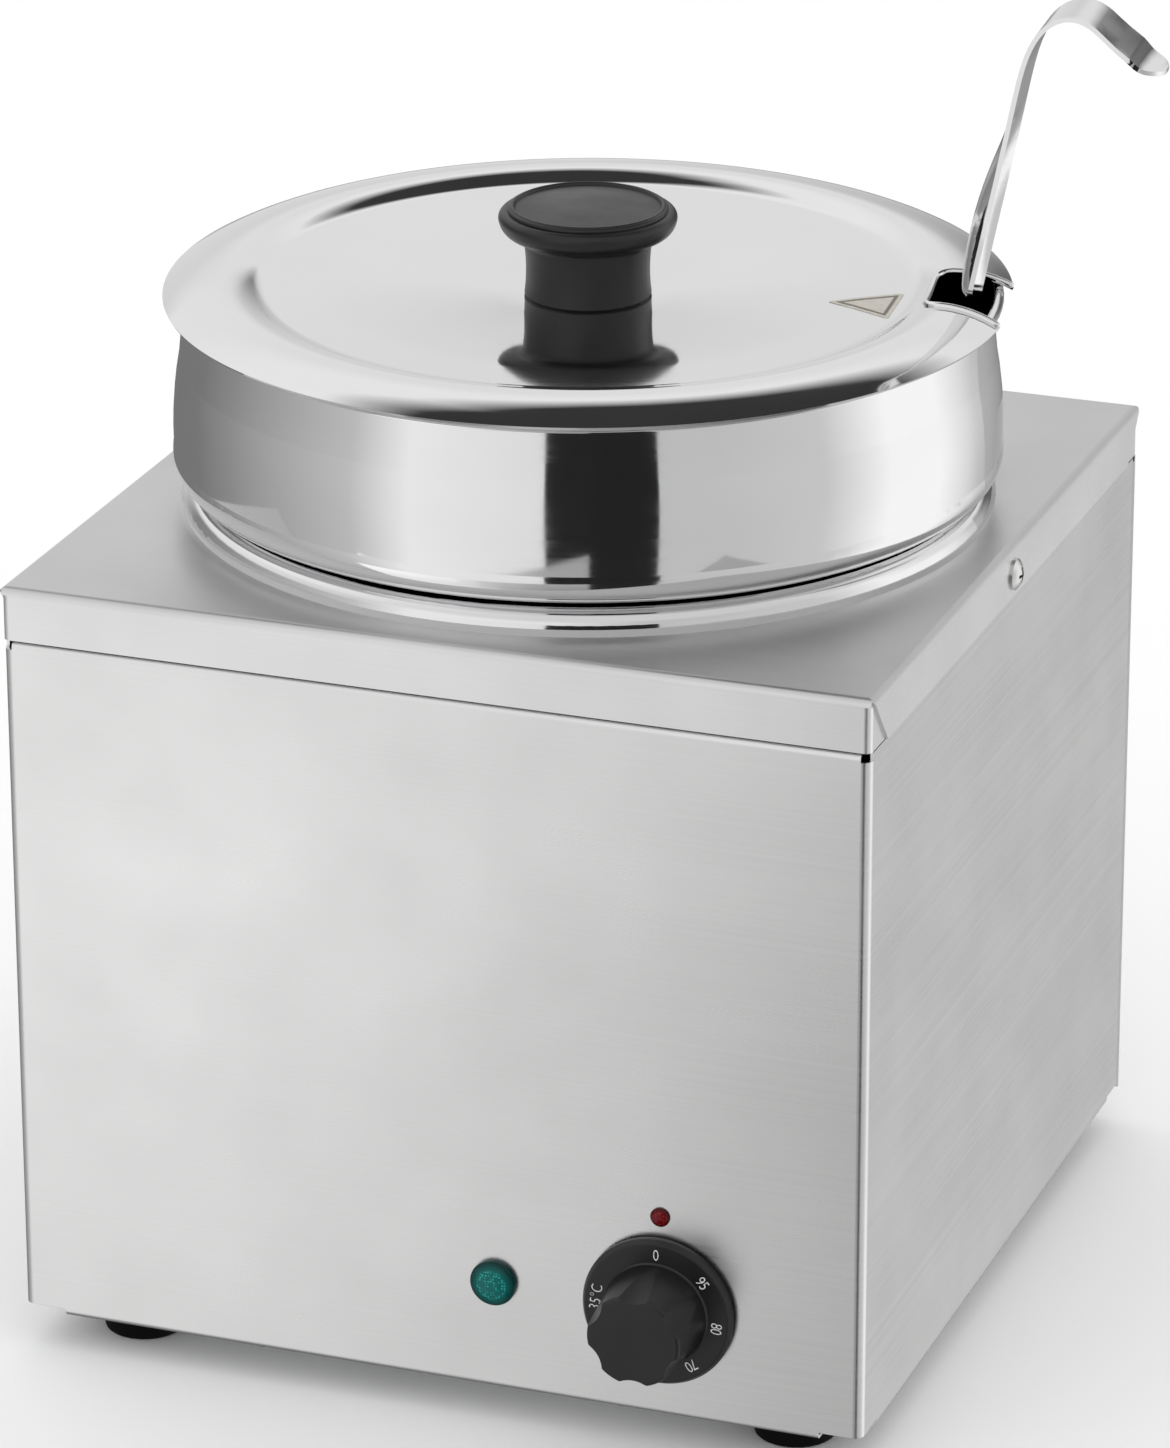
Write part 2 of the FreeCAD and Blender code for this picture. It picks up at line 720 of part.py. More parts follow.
def wiring_loom():
    """Single insulated wires from the terminal block to the parts it feeds."""
    z = base_z + sheet + 7
    front = block_y - 11
    thermostat_low = control_height - thermostat_half - 9
    tab_y = panel_in + 18.4
    run_z = base_z + sheet + 2
    leg_z = tank_floor - element_tube - 12 - 22
    leg_x = element_r * math.cos(math.radians(25)) + 12 * math.sin(math.radians(25))
    leg_y = element_r * math.sin(math.radians(25)) - 12 * math.cos(math.radians(25))
    routes = [
        [(block_x - 11, front, z), (block_x - 11, 40, z), (-60, -60, z - 2), (20, -105, z - 3),
         (dial_x - 10, -108, run_z), (dial_x - 10, tab_y, run_z),
         (dial_x - 10, tab_y, thermostat_low)],
        [(block_x, front, z), (block_x, 60, z), (-40, 30, z + 6), (40, leg_y, z + 10),
         (leg_x, leg_y, z + 12), (leg_x, leg_y, leg_z)],
        [(block_x + 11, front, z), (block_x + 11, 76, z + 3), (-60, 78, z + 4),
         (earth_x, 92, z + 3), (earth_x, earth_y - 6.5, z + 3)],
        [(dial_x + 10, tab_y, thermostat_low), (dial_x + 10, tab_y, run_z),
         (dial_x + 10, -108, run_z), (50, -60, z + 4), (20, -10, z + 24), (6, 25, z + 34),
         (6, 25, tank_floor - 20)],
    ]
    return Part.makeCompound([tube_path(route, 1.2, 4.0) for route in routes])


# ---------------------------------------------------------------- soup pot
def soup_pot():
    """Pot with a bulged band above the deck, a narrow neck and a rolled rim."""
    t = pot_sheet
    low = deck - pot_bottom
    corner = 16.0
    heel = (pot_wall_r - corner, low + corner)
    steps = [
        (pot_wall_r - corner, low),
        (bend_point(heel, corner, -45), (pot_wall_r, low + corner)),
        (pot_wall_r, deck - 1.0),
        ((117.1, deck + 3.6), (120.4, deck + 7.6)),
        ((122.2, deck + 8.9), (124.2, deck + 9.7)),
        ((128.0, deck + 12.2), (129.8, deck + 20.0)),
        ((129.6, deck + 33.0), (127.6, deck + 48.5)),
        ((126.9, deck + 56.4), (126.7, deck + 64.2)),
        ((127.0, deck + 64.9), (127.7, deck + 65.2)),
        ((129.3, deck + 67.0), (127.6, deck + 68.8)),
        ((126.2, deck + 68.3), (125.7, deck + 66.9)),
        (125.7, deck + 64.2),
        ((125.9, deck + 56.3), (126.6, deck + 48.5)),
        ((128.5, deck + 33.0), (128.7, deck + 20.0)),
        ((127.0, deck + 13.1), (123.8, deck + 10.7)),
        ((121.6, deck + 9.7), (119.7, deck + 8.4)),
        ((116.1, deck + 4.0), (pot_wall_r - t, deck - 1.0)),
        (pot_wall_r - t, low + corner),
        (bend_point(heel, corner - t, -45), (pot_wall_r - corner, low + t)),
        (0, low + t),
    ]
    return turned((0, low), steps)


# ---------------------------------------------------------------- lid
dish_r = 85.5
plate_r = 100.2               # flat ring round the dish
groove_r = 104.4              # middle of the rise to the brim
crest_r = 113.5
lid_edge_r = 132.3


def lid_top():
    """Upper surface of the lid from the knob's seat over the brim to its edge."""
    return [
        (20.5, deck + knob_seat),
        ((54.0, deck + 68.3), (dish_r, deck + 69.6)),
        (plate_r, deck + 69.6),
        ((102.36, deck + 69.87), (groove_r, deck + 70.65)),
        ((108.81, deck + 72.34), (crest_r, deck + 72.92)),
        ((123.23, deck + 71.64), (lid_edge_r, deck + 67.9)),
    ]


def lid_bottom():
    """Underside, one sheet below the upper surface, from the edge back to the middle."""
    t = lid_sheet
    return [
        (lid_edge_r - 0.4, deck + 67.21),
        ((123.02, deck + 70.87), (crest_r, deck + 72.92 - t)),
        ((109.01, deck + 71.57), (groove_r + 0.38, deck + 69.94)),
        ((102.56, deck + 69.09), (plate_r, deck + 69.6 - t)),
        (dish_r, deck + 69.6 - t),
        ((54.0, deck + 68.3 - t), (20.5, deck + knob_seat - t)),
    ]


def notch_cutter():
    """Wedge between two radii of the notch, with rounded inner corners."""
    spread = (-notch_half, notch_half)
    inner = [Vector(notch_inner_r * math.cos(math.radians(notch_angle + a)),
                    notch_inner_r * math.sin(math.radians(notch_angle + a)), 0) for a in spread]
    outer = [Vector(150 * math.cos(math.radians(notch_angle + a)),
                    150 * math.sin(math.radians(notch_angle + a)), 0) for a in spread]
    face = Part.Face(Part.makePolygon([inner[0], outer[0], outer[1], inner[1], inner[0]]))
    wedge = face.extrude(Vector(0, 0, 60))
    wedge.translate(Vector(0, 0, deck + 40))
    corners = [e for e in wedge.Edges
               if abs(e.tangentAt(e.FirstParameter).z) > 0.9
               and math.hypot(e.CenterOfMass.x, e.CenterOfMass.y) < 120]
    return wedge.makeFillet(5.0, corners)


def lid_shell():
    hole = 2.7
    steps = lid_top() + lid_bottom() + [(hole, deck + knob_seat - lid_sheet)]
    shell = turned((hole, deck + knob_seat), steps)
    return shell.cut(notch_cutter())


def foil_sticker():
    """Plain triangular foil patch beside the notch."""
    reach = 14.6
    middle = Vector(90.3, 8.8, deck + 60)
    turns = [math.radians(185.9 + 120 * i) for i in range(4)]
    points = [middle + Vector(reach * math.cos(a), reach * math.sin(a), 0) for a in turns]
    prism = Part.Face(Part.makePolygon(points)).extrude(Vector(0, 0, 20))
    corners = [e for e in prism.Edges if abs(e.tangentAt(e.FirstParameter).z) > 0.9]
    prism = prism.makeFillet(0.8, corners)
    thick = 0.15
    steps = [
        ((54.0, deck + 68.3), (dish_r, deck + 69.6)),
        (plate_r - 0.3, deck + 69.6),
        (plate_r - 0.3, deck + 69.6 + thick),
        (dish_r, deck + 69.6 + thick),
        ((54.0, deck + 68.3 + thick), (20.5, deck + knob_seat + thick)),
    ]
    return turned((20.5, deck + knob_seat), steps).common(prism)


def lid_knob():
    """Moulded mushroom knob: straight neck, rounded disc, stepped rim round a shallow dome."""
    z = deck + knob_seat
    steps = [
        (19.2, z),
        (19.8, z + 0.7),
        ((19.3, z + 8.0), (19.8, z + 16.0)),
        ((20.4, z + 18.0), (22.2, z + 19.2)),
        ((26.2, z + 21.0), (27.7, z + 24.0)),
        ((27.4, z + 26.2), (25.8, z + 27.2)),
        (25.0, z + 27.3),
        ((24.9, z + 28.1), (24.2, z + 28.5)),
        ((23.5, z + 28.9), (22.9, z + 28.6)),
        (22.5, z + 28.0),
        crown(22.5, z + 28.0, z + 29.0),
        (0, z + 16.0),
        (4.0, z + 16.0),
        (4.0, z),
    ]
    return turned((4.0, z), steps)


def knob_insert():
    z = deck + knob_seat
    return turned((2.5, z), [(4.0, z), (4.0, z + 16.0), (2.5, z + 16.0)])


def knob_screw():
    screw = pan_screw(4.6, 2.8, 2.5, 14.0).mirror(ORIGIN, UP)
    return moved(screw, (0, 0, deck + knob_seat - lid_sheet - 1.0))


def knob_washer():
    z = deck + knob_seat - lid_sheet
    return turned((2.6, z - 1.0), [(7.5, z - 1.0), (7.5, z), (2.6, z)])


# ---------------------------------------------------------------- ladle
def ladle_place(local):
    """Width, outward and along-handle offsets from the gate point, to the row's frame."""
    across, outward, along = local
    s = outward * math.cos(lean) + along * math.sin(lean)
    z = -outward * math.sin(lean) + along * math.cos(lean)
    gate = Vector(ladle_gate[0], ladle_gate[1], deck + ladle_gate[2])
    plane_way = Vector(math.cos(heading), math.sin(heading), 0)
    side_way = Vector(-math.sin(heading), math.cos(heading), 0)
    return gate + plane_way * s + side_way * across + UP * z


def handle_section(spot, way, width, middle_in, edge_in):
    """Bent cross-section of the strap, square to the way the handle's line runs."""
    normal = (way[1], -way[0])
    half_t = handle_sheet / 2
    half_w = width / 2

    def point(across, off):
        outward = spot[0] + normal[0] * off
        along = spot[1] + normal[1] * off
        return ladle_place((across, outward, along))

    def face(side):
        middle = point(0, side * half_t - middle_in)
        ends = [point(i * half_w, side * half_t - edge_in) for i in (-1, 1)]
        return ends, middle

    (low_a, low_b), low_mid = face(-1)
    (high_a, high_b), high_mid = face(1)
    return Part.Wire([
        Part.Arc(low_a, low_mid, low_b).toShape(),
        Part.LineSegment(low_b, high_b).toShape(),
        Part.Arc(high_b, high_mid, high_a).toShape(),
        Part.LineSegment(high_a, low_a).toShape(),
    ])


def ladle_line():
    """The handle's line in its own plane: (outward, along), running up from the bowl."""
    foot = -(bowl_foot + ladle_gate[2]) / math.cos(lean)
    hook = [(12.0, 133.0), (15.6, 149.0), (20.4, 159.2), (28.6, 164.7), (38.4, 161.2),
            (47.2, 153.6), (53.0, 149.6), (58.2, 148.0)]
    line = [(0.0, foot - 13.0), (0.0, foot + 4.0), (0.0, foot + 30.0), (0.0, foot + 60.0),
            (0.0, -20.0), (0.0, 30.0)]
    for s, z in hook:
        up = z - ladle_gate[2]
        outward = s * math.cos(lean) - up * math.sin(lean)
        along = s * math.sin(lean) + up * math.cos(lean)
        line.append((outward, along))
    return line


def smooth(value):
    value = min(1.0, max(0.0, value))
    return value * value * (3 - 2 * value)


def handle_width_at(from_foot, from_tip):
    """Even strap, rounded at its foot, a little wider at the hook's rounded tip."""
    widened = 1.25
    width = handle_width * (1 + (widened - 1) * max(0.0, 1 - from_tip / 60.0))
    if from_tip < 13:
        width *= math.sqrt(max(0.03, 1 - (1 - from_tip / 13.0) ** 2))
    if from_foot < 9:
        width *= math.sqrt(max(0.12, 1 - (1 - from_foot / 9.0) ** 2))
    return width


def ladle_handle():
    """Strap that hugs the bowl at its foot, is a shallow trough above, and flat at the hook."""
    spine = Part.BSplineCurve()
    spine.interpolate([Vector(a, b, 0) for a, b in ladle_line()])
    total = spine.length()
    flat = 0.02
    from_feet = [0.0, 1.5, 5.0, 9.0, 16.0, 24.0, 34.0, 46.0, 60.0, 80.0, 110.0, 140.0, 170.0, 195.0]
    from_tips = [92.0, 82.0, 72.0, 62.0, 52.0, 42.0, 32.0, 24.0, 16.0, 9.0, 4.5, 1.5, 0.2]
    sections = []
    for run in from_feet + [total - d for d in from_tips]:
        u = spine.parameterAtDistance(run)
        spot = spine.value(u)
        tangent = spine.tangent(u)[0]
        width = handle_width_at(run, total - run)
        hug = bowl_r - math.sqrt(bowl_r ** 2 - (width / 2) ** 2)
        hug *= 1 - smooth((run - 18.0) / 20.0)
        trough = trough_depth * smooth((run - 36.0) / 34.0) * smooth((total - run - 72.0) / 22.0)
        ends = (spot.x, spot.y), (tangent.x, tangent.y)
        sections.append(handle_section(*ends, width, trough + flat, hug))
    return Part.makeLoft(sections, True, False)


def ladle_bowl():
    """Round bowl whose upright wall lies against the handle's foot."""
    r = bowl_r
    t = bowl_sheet
    wall = -10.0
    depth = -36.5
    steps = [
        (r, wall),
        crown(r, wall, depth),
        (0, depth + t),
        crown_back(r - t, wall, depth + t),
        (r - t, 0),
    ]
    bowl = turned((r, 0), steps)
    foot = -(bowl_foot + ladle_gate[2]) / math.cos(lean)
    weld_gap = 0.03
    centre = ladle_place((0, -handle_sheet / 2 - weld_gap - r, foot))
    bowl.rotate(ORIGIN, NORTH, ladle_lean)
    bowl.rotate(ORIGIN, UP, ladle_heading)
    bowl.translate(centre)
    return bowl


# ---------------------------------------------------------------- write the nodes
nodes = {
    "casing_wrap": casing_wrap(),
    "top_cover": top_cover(),
    "back_panel": back_panel(),
    "base_plate": base_plate(),
    "foot_screws": foot_screws(),
    "foot_nuts": foot_nuts(),
    "cover_screws": cover_screws(),
    "cover_nuts": cover_nuts(),
    "base_screws": base_screws(),
    "back_screws": back_screws(),
    "well_tank": well_tank(),
    "heating_element": heating_element(),
    "heater_clamp_plate": heater_clamp_plate(),
    "heater_studs": heater_studs(),
    "heater_nuts": heater_nuts(),
    "insulation_blanket": insulation_blanket(),
    "sensor_bulb": sensor_bulb(),
    "bulb_clip": bulb_clip(),
    "overheat_cutout": overheat_cutout(),
    "cutout_bracket": cutout_bracket(),
    "thermostat_body": thermostat_body(),
    "thermostat_shaft": thermostat_shaft(),
    "thermostat_screws": thermostat_screws(),
    "dial_knob": dial_knob(),
    "green_lamp_lens": green_lamp_lens(),
    "green_lamp_body": lamp_body(5.8, 26.0, 7.0, green_x, control_height),
    "green_lamp_nut": lamp_nut(5.8, 9.0, green_x, control_height),
    "red_lamp_lens": red_lamp_lens(),
    "red_lamp_body": lamp_body(2.8, 20.0, 5.0, dial_x, red_height),
    "red_lamp_nut": lamp_nut(2.8, 5.0, dial_x, red_height),
    "terminal_block": terminal_block(),
    "terminal_screws": terminal_screws(),
    "earth_stud": earth_stud(),
    "earth_nuts": earth_nuts(),
    "cord_gland": cord_gland(),
    "gland_cap": gland_cap(),
    "gland_nut": gland_nut(),
    "wiring_loom": wiring_loom(),
    "soup_pot": soup_pot(),
    "lid_shell": lid_shell(),
    "lid_knob": lid_knob(),
    "knob_insert": knob_insert(),
    "knob_screw": knob_screw(),
    "knob_washer": knob_washer(),
    "foil_sticker": foil_sticker(),
    "ladle_handle": ladle_handle(),
    "ladle_bowl": ladle_bowl(),
}
for side, x in (("left", -foot_x), ("right", foot_x)):
    for end, y in (("front", -foot_y), ("back", foot_y)):
        nodes["foot_%s_%s" % (end, side)] = rubber_foot(x, y)

for name, shape in nodes.items():
    solids = len(shape.Solids)
    print("%-20s solids %d  volume %.1f  valid %s" % (name, solids, shape.Volume, shape.isValid()))
    shape.exportStep("parts/%s.step" % name)
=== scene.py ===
"""Looks of the countertop soup warmer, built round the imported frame. Metres, +Z up."""
import json
import math

import bmesh
import bpy
from mathutils import Matrix, Vector
from mathutils.bvhtree import BVHTree


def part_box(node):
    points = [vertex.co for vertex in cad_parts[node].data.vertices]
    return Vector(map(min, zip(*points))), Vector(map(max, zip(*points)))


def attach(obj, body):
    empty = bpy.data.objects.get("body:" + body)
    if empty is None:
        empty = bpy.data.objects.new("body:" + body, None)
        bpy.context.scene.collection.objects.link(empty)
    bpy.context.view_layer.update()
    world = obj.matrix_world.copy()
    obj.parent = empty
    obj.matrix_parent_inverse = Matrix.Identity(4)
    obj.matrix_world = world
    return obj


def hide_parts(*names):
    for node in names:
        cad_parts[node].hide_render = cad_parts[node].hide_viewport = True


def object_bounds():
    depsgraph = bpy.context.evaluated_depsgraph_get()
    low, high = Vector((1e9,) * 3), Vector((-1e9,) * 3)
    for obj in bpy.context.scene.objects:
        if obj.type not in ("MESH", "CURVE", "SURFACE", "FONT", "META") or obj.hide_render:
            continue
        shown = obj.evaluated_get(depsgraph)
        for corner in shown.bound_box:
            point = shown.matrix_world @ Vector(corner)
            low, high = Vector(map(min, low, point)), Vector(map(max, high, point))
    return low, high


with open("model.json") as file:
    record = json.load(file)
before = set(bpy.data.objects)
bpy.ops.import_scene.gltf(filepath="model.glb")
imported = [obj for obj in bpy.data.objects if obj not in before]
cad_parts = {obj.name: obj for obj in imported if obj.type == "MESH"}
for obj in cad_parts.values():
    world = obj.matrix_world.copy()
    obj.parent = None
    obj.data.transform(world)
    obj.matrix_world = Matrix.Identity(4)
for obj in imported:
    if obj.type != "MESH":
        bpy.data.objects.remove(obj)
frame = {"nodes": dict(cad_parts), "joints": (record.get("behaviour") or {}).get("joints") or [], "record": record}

cad_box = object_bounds()
scene = bpy.context.scene
nodes = frame["nodes"]
MM = 0.001
DIAL_SKIRT = 3.0 * MM         # depth of the dial's numbered skirt

# ---------------------------------------------------------------- places from the frame
joints = {j["name"]: j for j in frame["joints"]}
dial_place = Vector(joints["dial_turn"]["pos_m"])     # centre of the dial on the front panel
dial_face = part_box("dial_knob")[1].y - DIAL_SKIRT     # numbered face of the dial's skirt
green_middle = sum(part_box("green_lamp_lens"), Vector()) / 2
red_middle = sum(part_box("red_lamp_lens"), Vector()) / 2
foil_middle = sum(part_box("foil_sticker"), Vector()) / 2

# ---------------------------------------------------------------- camera
CAMERA_PLACE = Vector((0.7356, -2.0042, 1.0272))
CAMERA_AZIMUTH = math.radians(20.19)
CAMERA_ELEVATION = math.radians(21.70)
CAMERA_ROLL = math.radians(-0.152)
CAMERA_LENS = 179.3
SENSOR_WIDTH = 36.0


def make_camera():
    data = bpy.data.cameras.new("camera")
    data.lens = CAMERA_LENS
    data.sensor_width = SENSOR_WIDTH
    data.clip_start = 0.05
    data.clip_end = 50.0
    camera = bpy.data.objects.new("camera", data)
    scene.collection.objects.link(camera)
    sin_a, cos_a = math.sin(CAMERA_AZIMUTH), math.cos(CAMERA_AZIMUTH)
    sin_e, cos_e = math.sin(CAMERA_ELEVATION), math.cos(CAMERA_ELEVATION)
    forward = Vector((-sin_a * cos_e, cos_a * cos_e, -sin_e))
    right = Vector((cos_a, sin_a, 0.0))
    up = right.cross(forward)
    across = right * math.cos(CAMERA_ROLL) + up * math.sin(CAMERA_ROLL)
    upward = up * math.cos(CAMERA_ROLL) - right * math.sin(CAMERA_ROLL)
    turn = Matrix((across, upward, -forward)).transposed()
    camera.matrix_world = Matrix.Translation(CAMERA_PLACE) @ turn.to_4x4()
    scene.camera = camera


make_camera()


# ---------------------------------------------------------------- node helpers
def add(tree, kind, inputs=None, **settings):
    """New node; an input is a socket to link or a plain value."""
    new = tree.nodes.new(kind)
    for key, value in settings.items():
        setattr(new, key, value)
    for key, value in (inputs or {}).items():
        if isinstance(value, bpy.types.NodeSocket):
            tree.links.new(value, new.inputs[key])
        else:
            new.inputs[key].default_value = value
    return new


def blank_material(name):
    """Material whose node tree is empty."""
    material = bpy.data.materials.new(name)
    material.use_nodes = True
    material.node_tree.nodes.clear()
    return material, material.node_tree


def start_material(name, **values):
    """Material with one Principled shader, whose even values are set on its own sockets."""
    material, tree = blank_material(name)
    shader = add(tree, "ShaderNodeBsdfPrincipled", {k.replace("_", " "): v for k, v in values.items()})
    output = add(tree, "ShaderNodeOutputMaterial")
    tree.links.new(shader.outputs["BSDF"], output.inputs["Surface"])
    return material, tree, shader


def feed(tree, shader, **sockets):
    """Link sockets to the shader's inputs of the same names."""
    for name, socket in sockets.items():
        tree.links.new(socket, shader.inputs[name.replace("_", " ")])


def own_place(tree):
    """Place in metres in the object's own space."""
    return add(tree, "ShaderNodeTexCoord").outputs["Object"]


def place_noise(tree, scale, detail=3.0, stretch=(1, 1, 1), roughness=0.5):
    """Noise in metres of the object's own space, stretched along its axes."""
    mapping = add(tree, "ShaderNodeMapping", {"Vector": own_place(tree), "Scale": stretch})
    noise = add(tree, "ShaderNodeTexNoise", {"Vector": mapping.outputs["Vector"], "Scale": scale,
                                             "Detail": detail, "Roughness": roughness})
    return noise.outputs["Fac"]


def spread(tree, value, low, high, from_low=0.3, from_high=0.7):
    """Value mapped from one range to another, and held at its ends."""
    out = add(tree, "ShaderNodeMapRange", {"Value": value, "From Min": from_low, "From Max": from_high,
                                           "To Min": low, "To Max": high})
    return out.outputs["Result"]


def maths(tree, operation, *values):
    return add(tree, "ShaderNodeMath", dict(enumerate(values)), operation=operation).outputs[0]


def measure(tree, operation, *vectors):
    """Single value that a vector operation gives."""
    node = add(tree, "ShaderNodeVectorMath", dict(enumerate(vectors)), operation=operation)
    return node.outputs["Value"]


def mix_colours(tree, factor, first, second, **settings):
    """Mixed colour of two, each a socket or a plain value."""
    mix = add(tree, "ShaderNodeMix", {"Factor": factor, "A": first, "B": second}, data_type="RGBA",
              **settings)
    return mix.outputs["Result"]


def between(tree, factor, first, second):
    """Colour between two plain ones."""
    return mix_colours(tree, factor, (*first, 1), (*second, 1))


def bump(tree, shader, height, strength, distance):
    node = add(tree, "ShaderNodeBump", {"Height": height, "Strength": strength, "Distance": distance})
    feed(tree, shader, Normal=node.outputs["Normal"])


# ---------------------------------------------------------------- materials
def shades(tint, share):
    """Lighter or darker tint."""
    return tuple(min(1.0, c * share) for c in tint)


def brushed_steel(name, grain, tint, rough=0.30):
    """Sheet brushed in one direction: fine streaks, soft clouds, faint handling marks."""
    material, tree, shader = start_material(name, Metallic=1.0)
    streaks = place_noise(tree, 3.0, detail=6.0, stretch=grain, roughness=0.65)
    clouds = place_noise(tree, 7.0, stretch=(1, 1, 1.6))
    marks = place_noise(tree, 22.0, detail=2.0)
    light = spread(tree, clouds, 0.0, 0.5, from_low=0.35, from_high=0.65)
    line = spread(tree, streaks, 0.0, 0.5, from_low=0.35, from_high=0.65)
    colour = between(tree, maths(tree, "ADD", light, line), shades(tint, 0.95), shades(tint, 1.05))
    wear = maths(tree, "ADD", streaks, marks)
    feed(tree, shader, Base_Color=colour,
         Roughness=spread(tree, wear, rough - 0.04, rough + 0.06, from_low=0.7, from_high=1.3))
    bump(tree, shader, streaks, strength=0.04, distance=0.0001)
    return material


def deck_steel(name, grain, edge_tint, shaded_deck_tint, rough):
    """Brushed sheet whose flat top is painted darker than the fold round it, as painted shade."""
    material = brushed_steel(name, grain, edge_tint, rough)
    tree = material.node_tree
    shader = next(n for n in tree.nodes if n.bl_idname == "ShaderNodeBsdfPrincipled")
    folded = shader.inputs["Base Color"].links[0].from_socket
    height = add(tree, "ShaderNodeSeparateXYZ", {"Vector": own_place(tree)}).outputs["Z"]
    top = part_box("top_cover")[1].z
    flat = spread(tree, height, 0.0, 1.0, from_low=top - 3.0 * MM, from_high=top - 0.5 * MM)
    # painted shade: the flat top's colour is multiplied down towards the darker deck tint
    painted_top_shade = between(tree, flat, (1, 1, 1), [d / e for d, e in zip(shaded_deck_tint, edge_tint)])
    feed(tree, shader, Base_Color=mix_colours(tree, 1.0, folded, painted_top_shade, blend_type="MULTIPLY"))
    return material


def polished_steel(name, tint, rough=0.05):
    """Mirror-polished spun steel: turning lines round the axis and faint smears."""
    material, tree, shader = start_material(name, Metallic=1.0)
    parts = add(tree, "ShaderNodeSeparateXYZ", {"Vector": own_place(tree)})
    flat = add(tree, "ShaderNodeCombineXYZ", {"X": parts.outputs["X"], "Y": parts.outputs["Y"]})
    radius = measure(tree, "LENGTH", flat.outputs["Vector"])
    ring = add(tree, "ShaderNodeCombineXYZ", {"X": radius, "Z": parts.outputs["Z"]})
    turning = add(tree, "ShaderNodeTexNoise", {"Vector": ring.outputs["Vector"], "Scale": 900.0,
                                               "Detail": 3.0, "Roughness": 0.6}).outputs["Fac"]
    smears = place_noise(tree, 16.0, detail=5.0, stretch=(1, 1, 2.2), roughness=0.6)
    both = maths(tree, "ADD", smears, turning)
    feed(tree, shader, Base_Color=between(tree, spread(tree, smears, 0, 1), shades(tint, 0.97), tint),
         Roughness=spread(tree, both, rough * 0.7, rough * 2.0, from_low=0.7, from_high=1.3))
    bump(tree, shader, turning, strength=0.04, distance=0.00003)
    return material


def plain_metal(name, tint, rough, scale=240.0):
    """Small turned or stamped metal parts with a lightly mottled plating."""
    material, tree, shader = start_material(name, Metallic=1.0)
    mottle = place_noise(tree, scale, detail=4.0)
    feed(tree, shader, Base_Color=between(tree, spread(tree, mottle, 0, 1), shades(tint, 0.86), tint),
         Roughness=spread(tree, mottle, rough * 0.8, rough * 1.25))
    bump(tree, shader, mottle, strength=0.05, distance=0.0001)
    return material


def galvanised(name):
    """Zinc-coated sheet with crystal spangles."""
    material, tree, shader = start_material(name, Metallic=1.0)
    crystals = add(tree, "ShaderNodeTexVoronoi", {"Vector": own_place(tree), "Scale": 130.0})
    shade = add(tree, "ShaderNodeSeparateColor", {"Color": crystals.outputs["Color"]})
    feed(tree, shader,
         Base_Color=between(tree, shade.outputs["Red"], (0.46, 0.47, 0.48), (0.62, 0.63, 0.64)),
         Roughness=spread(tree, shade.outputs["Green"], 0.34, 0.48, from_low=0.0, from_high=1.0))
    bump(tree, shader, shade.outputs["Blue"], strength=0.08, distance=0.0001)
    return material


def moulded(name, low, high, rough, grain=1400.0, grain_depth=0.00004, gloss=0.5):
    """Moulded plastic or rubber: fine surface grain, soft mottling of the gloss."""
    material, tree, shader = start_material(name, Specular_IOR_Level=gloss)
    mottle = place_noise(tree, 60.0, detail=4.0)
    feed(tree, shader, Base_Color=between(tree, spread(tree, mottle, 0, 1), low, high),
         Roughness=spread(tree, mottle, rough * 0.85, rough * 1.2))
    bump(tree, shader, place_noise(tree, grain), strength=0.25, distance=grain_depth)
    return material


def mineral_wool(name):
    material, tree, shader = start_material(name, Roughness=0.95, Sheen_Weight=0.3)
    fibres = place_noise(tree, 90.0, detail=8.0, stretch=(1, 1, 5), roughness=0.75)
    feed(tree, shader, Base_Color=between(tree, spread(tree, fibres, 0, 1), (0.55, 0.47, 0.30),
                                          (0.82, 0.76, 0.60)))
    bump(tree, shader, fibres, strength=0.8, distance=0.002)
    return material


def lamp_lens(name, colour, deep, glow, middle, core, pitch):
    """Tinted lens: dark rim, and a core of small facets whose catch of the light is painted into the colour as
    painted highlights.
    """
    material, tree, shader = start_material(name, Roughness=0.10, Coat_Weight=0.15,
                                            Coat_Roughness=0.05, Specular_IOR_Level=0.12)
    place = own_place(tree)
    cells = add(tree, "ShaderNodeTexVoronoi", {"Vector": place, "Scale": 1.0 / pitch,
                                               "Randomness": 0.45})
    away = measure(tree, "DISTANCE", place, tuple(middle))
    inside = spread(tree, away, 1.0, 0.0, from_low=core, from_high=core * 1.12)
    facets = spread(tree, cells.outputs["Distance"], 1.0, 0.0, from_low=0.25, from_high=0.5)
    # painted highlights: the facets in the core take the bright glow colour
    painted_highlights = maths(tree, "MULTIPLY", inside, facets)
    rim = spread(tree, away, 0.0, 1.0, from_low=core, from_high=core * 1.5)
    feed(tree, shader,
         Base_Color=mix_colours(tree, painted_highlights, between(tree, rim, colour, deep), (*glow, 1)))
    bump(tree, shader, painted_highlights, strength=0.35, distance=0.0003)
    return material


def foil(name, low, high):
    """Thin metal foil, slightly crinkled."""
    material, tree, shader = start_material(name, Metallic=0.85)
    crinkle = place_noise(tree, 420.0, detail=4.0)
    feed(tree, shader, Base_Color=between(tree, spread(tree, crinkle, 0, 1), low, high),
         Roughness=spread(tree, crinkle, 0.32, 0.46))
    bump(tree, shader, crinkle, strength=0.2, distance=0.0001)
    return material


def white_print(name):
    material, tree, shader = start_material(name, Roughness=0.6)
    worn = place_noise(tree, 900.0)
    feed(tree, shader, Base_Color=between(tree, spread(tree, worn, 0, 1), (0.62, 0.62, 0.61),
                                          (0.86, 0.86, 0.85)))
    return material


